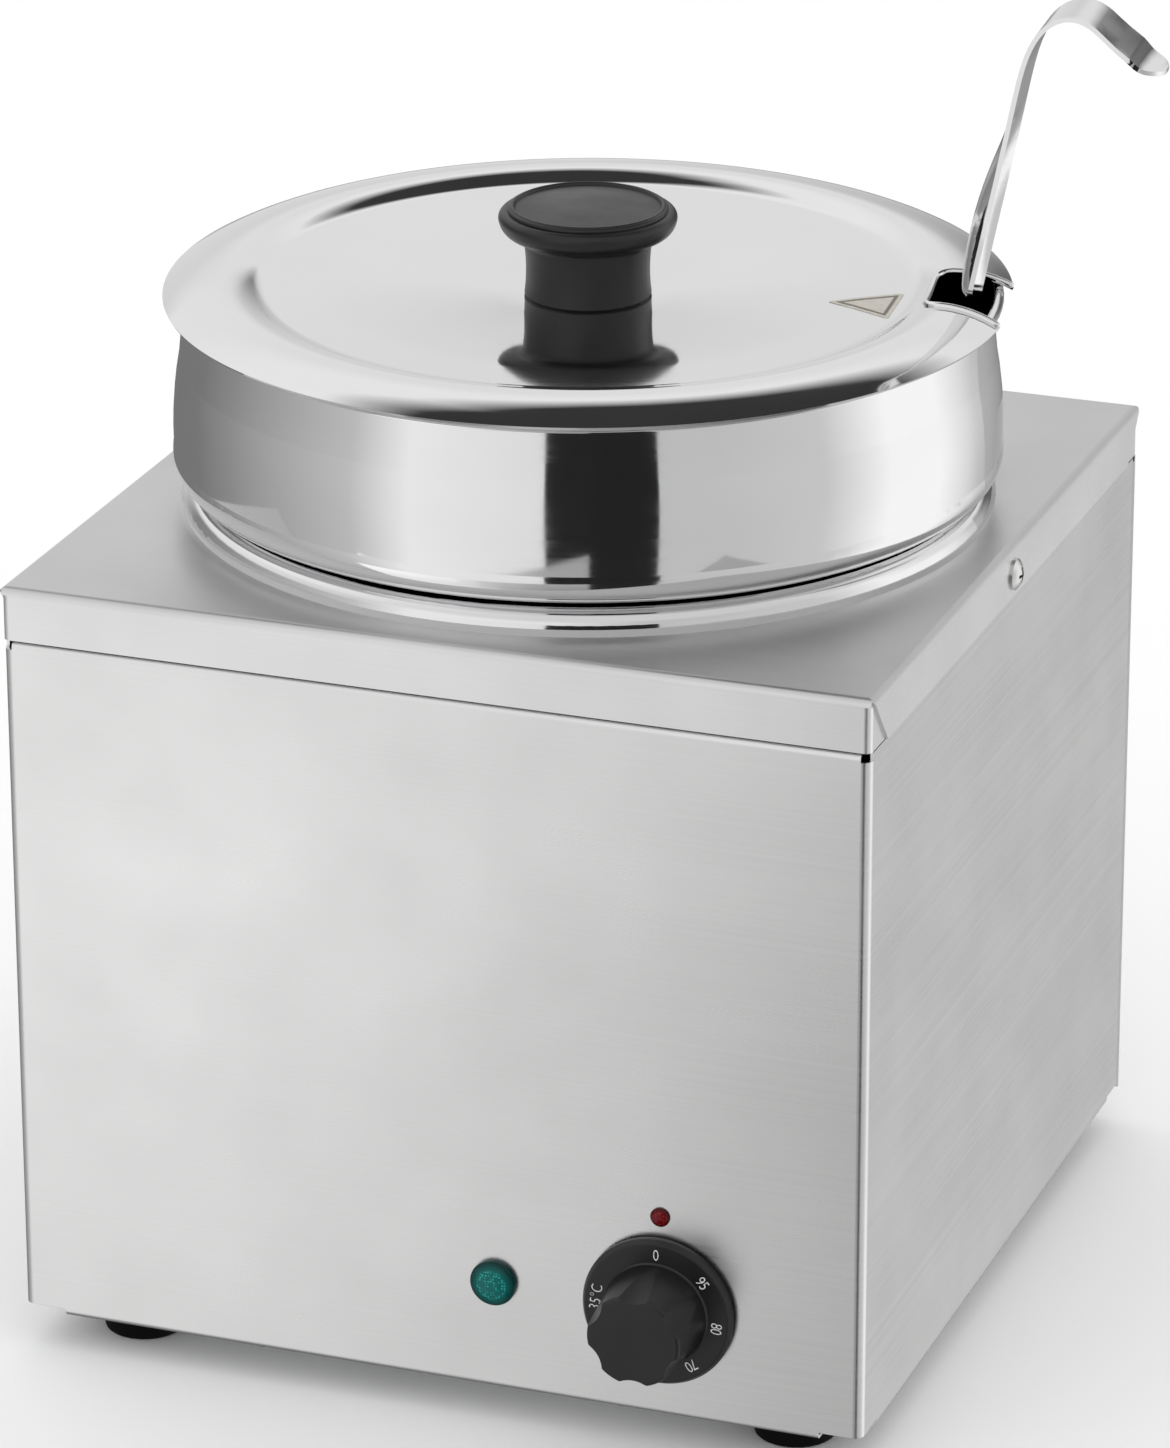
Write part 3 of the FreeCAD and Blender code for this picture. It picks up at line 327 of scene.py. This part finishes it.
finishes = {
    "brushed_sheet": brushed_steel("brushed_sheet", (1.5, 1.5, 420.0), (0.745, 0.745, 0.742)),
    "polished_steel": polished_steel("polished_steel", (0.775, 0.775, 0.78)),
    "galvanised_sheet": galvanised("galvanised_sheet"),
    "black_rubber": moulded("black_rubber", (0.002, 0.002, 0.002), (0.004, 0.004, 0.004), 0.8,
                            gloss=0.12),
    "zinc_fasteners": plain_metal("zinc_fasteners", (0.62, 0.62, 0.60), 0.34),
    "steel_screws": plain_metal("steel_screws", (0.70, 0.70, 0.69), 0.24),
    "element_sheath": plain_metal("element_sheath", (0.22, 0.21, 0.20), 0.5),
    "aluminium_plate": plain_metal("aluminium_plate", (0.78, 0.78, 0.79), 0.36, scale=60.0),
    "mineral_wool": mineral_wool("mineral_wool"),
    "copper_bulb": plain_metal("copper_bulb", (0.80, 0.45, 0.30), 0.3),
    "white_ceramic": moulded("white_ceramic", (0.74, 0.71, 0.64), (0.84, 0.82, 0.76), 0.28),
    "switch_plastic": moulded("switch_plastic", (0.10, 0.085, 0.07), (0.15, 0.13, 0.11), 0.5),
    "green_lens": lamp_lens("green_lens", (0.0, 0.10, 0.09), (0.0, 0.03, 0.028), (0.02, 0.31, 0.27),
                            green_middle, 4.6 * MM, 0.9 * MM),
    "red_lens": lamp_lens("red_lens", (0.10, 0.002, 0.004), (0.045, 0.001, 0.001), (0.23, 0.015, 0.02),
                          red_middle, 2.0 * MM, 0.8 * MM),
    "lamp_plastic": moulded("lamp_plastic", (0.72, 0.71, 0.67), (0.82, 0.81, 0.77), 0.4),
    "white_plastic": moulded("white_plastic", (0.76, 0.75, 0.71), (0.86, 0.85, 0.81), 0.42),
    "brass_screws": plain_metal("brass_screws", (0.80, 0.62, 0.32), 0.3),
    "black_nylon": moulded("black_nylon", (0.018, 0.018, 0.018), (0.035, 0.035, 0.034), 0.48),
    "wire_insulation": moulded("wire_insulation", (0.24, 0.09, 0.05), (0.34, 0.14, 0.08), 0.4),
    "black_bakelite": moulded("black_bakelite", (0.007, 0.007, 0.008), (0.013, 0.013, 0.014), 0.36,
                              grain=900.0, grain_depth=0.00005, gloss=0.42),
    "foil": foil("foil", (0.56, 0.53, 0.46), (0.72, 0.69, 0.62)),
    "foil_edge": foil("foil_edge", (0.16, 0.14, 0.115), (0.24, 0.215, 0.18)),
    "dial_print": white_print("dial_print"),
    "deck_sheet": deck_steel("deck_sheet", (1.5, 420.0, 420.0), (0.80, 0.80, 0.80),
                             (0.62, 0.62, 0.62), 0.36),
}

for part_of in frame["record"]["subparts"]:
    cad_node = nodes[part_of["node"]]
    cad_node.data.materials.clear()
    cad_node.data.materials.append(finishes[part_of["material_slot"]])
nodes["top_cover"].data.materials[0] = finishes["deck_sheet"]


# ---------------------------------------------------------------- mesh helpers
def new_piece(name, mesh, body, finish):
    """Object for a mesh, riding on a body and its finish."""
    piece = bpy.data.objects.new(name, mesh)
    scene.collection.objects.link(piece)
    mesh.materials.clear()
    mesh.materials.append(finishes[finish])
    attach(piece, body)
    return piece


def smooth_mesh(bm, name, sharp_degrees=35.0):
    """Mesh with smooth faces and edges kept crisp where the surface turns sharply."""
    bmesh.ops.recalc_face_normals(bm, faces=bm.faces)
    limit = math.radians(sharp_degrees)
    for face in bm.faces:
        face.smooth = True
    for edge in bm.edges:
        edge.smooth = len(edge.link_faces) == 2 and edge.calc_face_angle(0.0) < limit
    mesh = bpy.data.meshes.new(name)
    bm.to_mesh(mesh)
    bm.free()
    return mesh


def surface_of(node):
    mesh = nodes[node].data
    return BVHTree.FromPolygons([v.co for v in mesh.vertices], [p.vertices for p in mesh.polygons])


def height_on(surface, x, y):
    """Top of a surface straight below a high point, in metres."""
    spot = surface.ray_cast(Vector((x, y, 1.0)), Vector((0, 0, -1)))[0]
    return spot.z


def arc_points(start, middle, end, count):
    """Points after the start of the circular arc through three points."""
    ax, ay = start
    bx, by = middle
    cx, cy = end
    d = 2 * (ax * (by - cy) + bx * (cy - ay) + cx * (ay - by))
    sa, sb, sc = ax * ax + ay * ay, bx * bx + by * by, cx * cx + cy * cy
    ux = (sa * (by - cy) + sb * (cy - ay) + sc * (ay - by)) / d
    uy = (sa * (cx - bx) + sb * (ax - cx) + sc * (bx - ax)) / d
    radius = math.hypot(ax - ux, ay - uy)
    first = math.atan2(ay - uy, ax - ux)
    mid = (math.atan2(by - uy, bx - ux) - first) % (2 * math.pi)
    last = (math.atan2(cy - uy, cx - ux) - first) % (2 * math.pi)
    if mid > last:
        last -= 2 * math.pi
    turns = [first + last * i / count for i in range(1, count + 1)]
    return [(ux + radius * math.cos(a), uy + radius * math.sin(a)) for a in turns]


def profile(start, steps, per_arc=8):
    """Outline through straight steps (a point) and arcs (a middle and an end point)."""
    points = [start]
    for step in steps:
        if isinstance(step[0], tuple):
            points += arc_points(points[-1], step[0], step[1], per_arc)
        else:
            points.append(step)
    return points


def spin(points, segments):
    """Closed ring turned about +Z from (radius, height) points in millimetres."""
    bm = bmesh.new()
    turns = [2 * math.pi * i / segments for i in range(segments)]
    rings = [[bm.verts.new((r * MM * math.cos(a), r * MM * math.sin(a), z * MM)) for a in turns]
             for r, z in points]
    for low, high in zip(rings, rings[1:] + rings[:1]):
        for i in range(segments):
            j = (i + 1) % segments
            bm.faces.new((low[i], low[j], high[j], high[i]))
    return bm


def prism(corners, bottom, top):
    """Upright block over a closed outline of flat points."""
    bm = bmesh.new()
    low = [bm.verts.new((c.x, c.y, bottom)) for c in corners]
    high = [bm.verts.new((c.x, c.y, top)) for c in corners]
    bm.faces.new(low)
    bm.faces.new(high)
    for i in range(len(corners)):
        j = (i + 1) % len(corners)
        bm.faces.new((low[i], low[j], high[j], high[i]))
    return bm


def cut_away(bm, tool):
    """First mesh with the second taken out of it."""
    pair = []
    for name, work in (("whole", bm), ("tool", tool)):
        mesh = bpy.data.meshes.new(name)
        bmesh.ops.recalc_face_normals(work, faces=work.faces)
        work.to_mesh(mesh)
        work.free()
        pair.append(bpy.data.objects.new(name, mesh))
        scene.collection.objects.link(pair[-1])
    whole, cutter = pair
    cut = whole.modifiers.new("cut", "BOOLEAN")
    cut.operation = "DIFFERENCE"
    cut.solver = "EXACT"
    cut.object = cutter
    result = bmesh.new()
    result.from_object(whole, bpy.context.evaluated_depsgraph_get())
    for piece in pair:
        mesh = piece.data
        bpy.data.objects.remove(piece)
        bpy.data.meshes.remove(mesh)
    return result


def bead(points, radius, sides=12):
    """Round bead along a path, its ends closed by half domes."""
    bm = bmesh.new()
    count = len(points)
    dome = [(0.06, -1.0), (0.5, -0.87), (0.87, -0.5)]
    stations = [(0, share, back) for share, back in dome]
    stations += [(i, 1.0, 0.0) for i in range(count)]
    stations += [(count - 1, share, -back) for share, back in reversed(dome)]
    rings = []
    for i, share, along in stations:
        ahead = points[min(i + 1, count - 1)] - points[max(i - 1, 0)]
        ahead.normalize()
        side = ahead.cross(Vector((0, 0, 1))).normalized()
        up = side.cross(ahead)
        middle = points[i] + ahead * (along * radius)
        turns = [2 * math.pi * k / sides for k in range(sides)]
        rings.append([bm.verts.new(middle + (side * math.cos(a) + up * math.sin(a)) * radius * share)
                      for a in turns])
    for low, high in zip(rings, rings[1:]):
        for k in range(sides):
            j = (k + 1) % sides
            bm.faces.new((low[k], low[j], high[j], high[k]))
    bm.faces.new(rings[0])
    bm.faces.new(rings[-1])
    return bm


# ---------------------------------------------------------------- lid, and the hem of its notch
# Millimetres from the axis, as in the lid's design.
LID_HOLE = 2.7
LID_HUB = 20.5
LID_DISH = 85.5
LID_PLATE = 100.2
LID_CREST = 113.5
LID_SEGMENTS = 300
NOTCH_INNER = 109.0
NOTCH_MIDDLE = 120.0
NOTCH_PAST_EDGE = 150.0
NOTCH_CORNER = 5.0        # length of each rounded corner along its sides
NOTCH_ANGLE = 10.9        # degrees from +X
NOTCH_HALF = 8.4          # degrees to each side
EDGE_IN = 0.6             # bead's centre line, inside the sheet's cut edge
BEAD_OUTER = 131.3
BEAD_RADIUS = 1.1 * MM
BEAD_LIFT = 0.25 * MM


def polar(radius, degrees):
    return Vector((radius * math.cos(math.radians(degrees)), radius * math.sin(math.radians(degrees))))


def rounded_run(corners, tangent, per_run, per_corner):
    """Points along straight runs whose inner corners are rounded off."""
    count = len(corners)
    starts = [corners[0]]
    ends = []
    for i in range(1, count - 1):
        back = (corners[i - 1] - corners[i]).normalized() * tangent
        ahead = (corners[i + 1] - corners[i]).normalized() * tangent
        ends.append(corners[i] + back)
        starts.append(corners[i] + ahead)
    ends.append(corners[-1])
    points = []
    for i, (start, end) in enumerate(zip(starts, ends)):
        points += [start.lerp(end, k / per_run) for k in range(per_run + 1)]
        if i + 1 < len(starts):
            for k in range(1, per_corner):
                share = k / per_corner
                first = end.lerp(corners[i + 1], share)
                points.append(first.lerp(corners[i + 1].lerp(starts[i + 1], share), share))
    return points


def notch_outline(inner, outer, widen):
    """Open outline of the notch between two radii, wider by an angle at each side."""
    near = NOTCH_ANGLE - NOTCH_HALF - widen
    far = NOTCH_ANGLE + NOTCH_HALF + widen
    corners = [polar(outer, near), polar(inner, near), polar(inner, far), polar(outer, far)]
    return rounded_run(corners, NOTCH_CORNER, per_run=22, per_corner=8)


def make_lid():
    """Spun lid with finer turns than the design's mesh; same profile, same notch."""
    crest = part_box("lid_shell")[1].z / MM
    outline = profile((LID_HOLE, crest - 6.92), [
        (LID_HUB, crest - 6.92), ((54.0, crest - 4.62), (LID_DISH, crest - 3.32)),
        (LID_PLATE, crest - 3.32), ((102.36, crest - 3.05), (104.4, crest - 2.27)),
        ((108.81, crest - 0.58), (LID_CREST, crest)), ((123.23, crest - 1.28), (132.3, crest - 5.02)),
        (131.9, crest - 5.71), ((123.02, crest - 2.05), (LID_CREST, crest - 0.8)),
        ((109.01, crest - 1.35), (104.78, crest - 2.98)),
        ((102.56, crest - 3.83), (LID_PLATE, crest - 4.12)), (LID_DISH, crest - 4.12),
        ((54.0, crest - 5.42), (LID_HUB, crest - 7.72)), (LID_HOLE, crest - 7.72)])
    notch = [c * MM for c in notch_outline(NOTCH_INNER, NOTCH_PAST_EDGE, 0.0)]
    through = prism(notch, (crest - 30.0) * MM, (crest + 20.0) * MM)
    bm = cut_away(spin(outline, LID_SEGMENTS), through)
    piece = new_piece("lid_cover", smooth_mesh(bm, "lid_cover", 28.0), "lid",
                      "polished_steel")
    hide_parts("lid_shell")


def make_notch_bead():
    """Hem along both sides and the inner end of the notch, following the lid's surface."""
    widen = math.degrees(EDGE_IN / NOTCH_MIDDLE)
    lid = surface_of("lid_shell")
    points = []
    for spot in notch_outline(NOTCH_INNER - EDGE_IN, BEAD_OUTER, widen):
        x, y = spot.x * MM, spot.y * MM
        points.append(Vector((x, y, height_on(lid, x, y) + BEAD_LIFT)))
    bm = bead(points, BEAD_RADIUS)
    new_piece("lid_notch_edge", smooth_mesh(bm, "lid_notch_edge", 60.0), "lid",
              "polished_steel")


make_lid()
make_notch_bead()


# ---------------------------------------------------------------- border of the foil triangle
BORDER_OUTER = 0.86           # shares of the triangle's own size
BORDER_INNER = 0.70
BORDER_LIFT = 0.04 * MM
BORDER_STEPS = 12             # quads along each side
TIPS_APART = 10 * MM


def make_foil_border():
    """Darker printed line just inside the triangle's edge, with no symbol."""
    surface = surface_of("foil_sticker")
    tips = []
    for vertex in sorted(nodes["foil_sticker"].data.vertices,
                         key=lambda v: -(v.co - foil_middle).to_2d().length):
        spot = vertex.co.to_2d()
        if all((spot - t).length > TIPS_APART for t in tips):
            tips.append(spot)
        if len(tips) == 3:
            break
    centre = (tips[0] + tips[1] + tips[2]) / 3
    outer = [centre + (t - centre) * BORDER_OUTER for t in tips]
    inner = [centre + (t - centre) * BORDER_INNER for t in tips]
    bm = bmesh.new()

    def on_top(spot):
        return bm.verts.new((spot.x, spot.y, height_on(surface, spot.x, spot.y) + BORDER_LIFT))

    for i in range(3):
        j = (i + 1) % 3
        low = [on_top(outer[i].lerp(outer[j], k / BORDER_STEPS)) for k in range(BORDER_STEPS + 1)]
        high = [on_top(inner[i].lerp(inner[j], k / BORDER_STEPS)) for k in range(BORDER_STEPS + 1)]
        for k in range(BORDER_STEPS):
            bm.faces.new((low[k], low[k + 1], high[k + 1], high[k]))
    bmesh.ops.remove_doubles(bm, verts=bm.verts, dist=0.02 * MM)
    new_piece("foil_border", smooth_mesh(bm, "foil_border"), "lid", "foil_edge")


make_foil_border()

# ---------------------------------------------------------------- numbers round the dial
# Each figure and its angle in degrees, clockwise from the top.
DIAL_MARKS = [("0", 0), ("95", 50), ("80", 96), ("70", 144), ("60", 184), ("50", 222),
              ("35\u00b0C", 277)]
MARK_RADIUS = 19.4 * MM
MARK_HEIGHT = 5.2 * MM
MARK_PROUD = 0.03 * MM
MARK_THINNER = 0.07 * MM
MARK_NARROW = 0.78
WIDE_SPACING = 1.05           # for a figure of three or more characters
CLOSE_SPACING = 0.92


def make_mark(number, text, degrees):
    """One printed number, its top towards the rim, a hair proud of the skirt's face."""
    curve = bpy.data.curves.new("mark", "FONT")
    curve.body = text
    curve.size = MARK_HEIGHT
    curve.align_x = "CENTER"
    curve.align_y = "CENTER"
    curve.extrude = MARK_PROUD
    curve.offset = -MARK_THINNER
    curve.space_character = WIDE_SPACING if len(text) > 2 else CLOSE_SPACING
    holder = bpy.data.objects.new("mark", curve)
    mesh = bpy.data.meshes.new_from_object(holder)
    bpy.data.objects.remove(holder)
    bpy.data.curves.remove(curve)
    angle = math.radians(degrees)
    upright = Matrix.Rotation(math.pi / 2, 4, "X")
    narrow = Matrix.Scale(MARK_NARROW, 4, Vector((1, 0, 0)))
    place = Vector((dial_place.x + MARK_RADIUS * math.sin(angle), dial_face - MARK_PROUD,
                    dial_place.z + MARK_RADIUS * math.cos(angle)))
    turn = Matrix.Rotation(angle, 4, "Y")
    mesh.transform(Matrix.Translation(place) @ turn @ upright @ narrow)
    new_piece("dial_mark_%d" % number, mesh, "dial", "dial_print")


for i, (text, degrees) in enumerate(DIAL_MARKS):
    make_mark(i, text, degrees)

# ---------------------------------------------------------------- floor and light
# Brightness of the studio seen in polished surfaces, by direction round the object.
# Degrees are counted from the front of the stage (the camera's side), positive to the right.
FLOOR_ROUND = [(-180, 0.10), (-117, 0.16), (-68, 0.30), (-50, 0.50), (-10, 0.45), (36, 0.34),
               (90, 0.60), (127, 0.45), (180, 0.10)]
LOW_ROUND = [(-180, 0.16), (-136, 0.20), (-117, 0.28), (-68, 0.56), (-50, 0.93), (-30, 0.86),
             (-10, 0.80), (15, 0.58), (36, 0.58), (67, 0.64), (90, 1.06), (112, 1.06), (127, 0.8),
             (142, 0.47), (180, 0.16)]
LEVEL_ROUND = [(-180, 0.70), (-160, 0.70), (-140, 0.24), (-117, 0.30), (-68, 0.58), (-50, 0.93),
               (-10, 0.82), (15, 0.58), (67, 0.64), (90, 1.04), (112, 1.02), (127, 0.78), (140, 0.40),
               (150, 0.12), (165, 0.14), (175, 0.55), (180, 0.70)]
HIGH_ROUND = [(-180, 0.80), (-150, 0.86), (-120, 0.84), (-68, 0.70), (-50, 0.93), (-10, 0.86),
              (15, 0.58), (36, 0.58), (67, 0.64), (90, 1.0), (120, 0.82), (180, 0.80)]
UPPER_ROUND = [(-180, 0.90), (-150, 0.90), (-120, 0.95), (-60, 0.80), (-20, 0.72), (60, 0.66),
               (100, 0.75), (150, 0.90), (180, 0.90)]
# Height from which the ceiling is dark in each direction, as a share of 90 degrees.
CEILING_ROUND = [(-180, 0.44), (-165, 0.55), (-120, 0.60), (-100, 0.74), (-60, 0.84), (-20, 0.84),
                 (60, 0.80), (95, 0.44), (115, 0.36), (150, 0.38), (180, 0.44)]
CEILING_FADE = 0.13
CEILING_DARK = 0.035
REFLECTED_LEVEL = 1.12
ROOM_LEVEL = 1.08


def ramp(tree, value, stops, low, high):
    """Grey ramp over stops of place and level, between two end places."""
    node = add(tree, "ShaderNodeValToRGB", {"Fac": value})
    elements = node.color_ramp.elements
    while len(elements) > 1:
        elements.remove(elements[-1])
    for i, (place, level) in enumerate(stops):
        position = (place - low) / (high - low)
        if i == 0:
            elements[0].position = position
        else:
            elements.new(position)
        elements[i].color = (level, level, level, 1)
    return node.outputs["Color"]


def make_world():
    """Even white, but glossy rays see soft panels, a dim back and a dark ceiling."""
    world = bpy.data.worlds.new("studio")
    scene.world = world
    world.use_nodes = True
    tree = world.node_tree
    tree.nodes.clear()
    heading = add(tree, "ShaderNodeTexCoord").outputs["Generated"]
    sin_a, cos_a = math.sin(CAMERA_AZIMUTH), math.cos(CAMERA_AZIMUTH)
    towards = measure(tree, "DOT_PRODUCT", heading, (sin_a, -cos_a, 0))
    sideways = measure(tree, "DOT_PRODUCT", heading, (cos_a, sin_a, 0))
    height = add(tree, "ShaderNodeSeparateXYZ", {0: heading}).outputs["Z"]
    rise = maths(tree, "ARCSINE", height)
    turn = maths(tree, "ARCTAN2", sideways, towards)
    round_part = spread(tree, turn, 0.0, 1.0, from_low=-math.pi, from_high=math.pi)

    def level(stops):
        return ramp(tree, round_part, stops, -180, 180)

    def risen(low, high):
        return spread(tree, rise, 0.0, 1.0, from_low=math.radians(low), from_high=math.radians(high))

    whole = level(FLOOR_ROUND)
    for low, high, stops in ((-50, -32, LOW_ROUND), (-14, -5, LEVEL_ROUND), (13, 19, HIGH_ROUND),
                             (27, 38, UPPER_ROUND)):
        whole = mix_colours(tree, risen(low, high), whole, level(stops))
    share = maths(tree, "DIVIDE", rise, math.pi / 2)
    above = maths(tree, "SUBTRACT", share, level(CEILING_ROUND))
    top = spread(tree, above, 0.0, 1.0, from_low=0.0, from_high=CEILING_FADE)
    whole = mix_colours(tree, top, whole, (CEILING_DARK, CEILING_DARK, CEILING_DARK, 1))
    reflected = add(tree, "ShaderNodeBackground", {"Color": whole, "Strength": REFLECTED_LEVEL})
    plain = add(tree, "ShaderNodeBackground", {"Color": (1, 1, 1, 1), "Strength": ROOM_LEVEL})
    path = add(tree, "ShaderNodeLightPath")
    mix = add(tree, "ShaderNodeMixShader", {"Fac": path.outputs["Is Glossy Ray"],
                                            1: plain.outputs[0], 2: reflected.outputs[0]})
    output = add(tree, "ShaderNodeOutputWorld")
    tree.links.new(mix.outputs[0], output.inputs["Surface"])


def stage_sheet(name, corners, material, cuts=8):
    """Flat stage sheet between four corners."""
    bm = bmesh.new()
    face = bm.faces.new([bm.verts.new(c) for c in corners])
    bmesh.ops.subdivide_edges(bm, edges=face.edges[:], cuts=cuts, use_grid_fill=True)
    mesh = bpy.data.meshes.new(name)
    bm.to_mesh(mesh)
    bm.free()
    mesh.materials.append(material)
    piece = bpy.data.objects.new(name, mesh)
    scene.collection.objects.link(piece)
    return piece


def only_in_reflections(piece):
    piece.visible_camera = False
    piece.visible_diffuse = False
    piece.visible_shadow = False
    piece.visible_transmission = False


def make_floor():
    reach = 8.0
    material, tree, shader = start_material("floor_paper", Roughness=0.8)
    grain = place_noise(tree, 3.0, detail=2.0)
    feed(tree, shader, Base_Color=between(tree, grain, (0.93, 0.93, 0.93), (0.97, 0.97, 0.97)))
    floor = stage_sheet("floor", [(-reach, -reach, 0), (reach, -reach, 0), (reach, reach, 0),
                                  (-reach, reach, 0)], material)
    floor.visible_glossy = False


def make_dark_card():
    """Dark card in front, mirrored as the dark strip on the pot."""
    distance = 0.95
    left, right = math.radians(-11.0), math.radians(17.5)
    bottom, top = -0.9, 0.42
    corners = []
    for turn, height in ((left, bottom), (right, bottom), (right, top), (left, top)):
        heading = CAMERA_AZIMUTH + turn
        corners.append((distance * math.sin(heading), -distance * math.cos(heading), height))
    material, tree, shader = start_material("dark_card", Roughness=1.0)
    shade = place_noise(tree, 4.0, detail=2.0)
    feed(tree, shader, Base_Color=between(tree, shade, (0.006, 0.006, 0.007), (0.016, 0.016, 0.017)))
    only_in_reflections(stage_sheet("dark_card", corners, material, 2))


def make_graded_card():
    """Low panel in front, bright on its left and dimmer on its right, mirrored by the front sheet."""
    distance = 0.5
    sin_a, cos_a = math.sin(CAMERA_AZIMUTH), math.cos(CAMERA_AZIMUTH)
    front = cad_box[0].y
    middle = Vector((-sin_a * distance, front - cos_a * distance, 0))
    along = Vector((cos_a, -sin_a, 0))
    left, right, bottom, top = -0.30, 0.50, -0.45, 0.045
    corners = [middle + along * t + Vector((0, 0, z))
               for t, z in ((left, bottom), (right, bottom), (right, top), (left, top))]
    material, tree = blank_material("graded_card")
    place = own_place(tree)
    offset = add(tree, "ShaderNodeVectorMath", {0: place, 1: tuple(middle)}, operation="SUBTRACT")
    across = measure(tree, "DOT_PRODUCT", offset.outputs["Vector"], tuple(along))
    share = spread(tree, across, 0.0, 1.0, from_low=left, from_high=right)
    stops = [(-0.30, 1.12), (-0.13, 1.08), (0.0, 0.96), (0.13, 0.60), (0.30, 0.42), (0.50, 0.40)]
    shade = ramp(tree, share, stops, left, right)
    height = add(tree, "ShaderNodeSeparateXYZ", {0: place}).outputs["Z"]
    lower = spread(tree, height, 0.84, 1.0, from_low=-0.26, from_high=0.0)
    level = maths(tree, "MULTIPLY", lower, REFLECTED_LEVEL)
    glow = add(tree, "ShaderNodeEmission", {"Color": shade, "Strength": level})
    output = add(tree, "ShaderNodeOutputMaterial")
    tree.links.new(glow.outputs[0], output.inputs["Surface"])
    only_in_reflections(stage_sheet("graded_card", corners, material, 2))


make_world()
make_floor()
make_dark_card()
make_graded_card()

# ---------------------------------------------------------------- view transform
scene.view_settings.view_transform = "Standard"
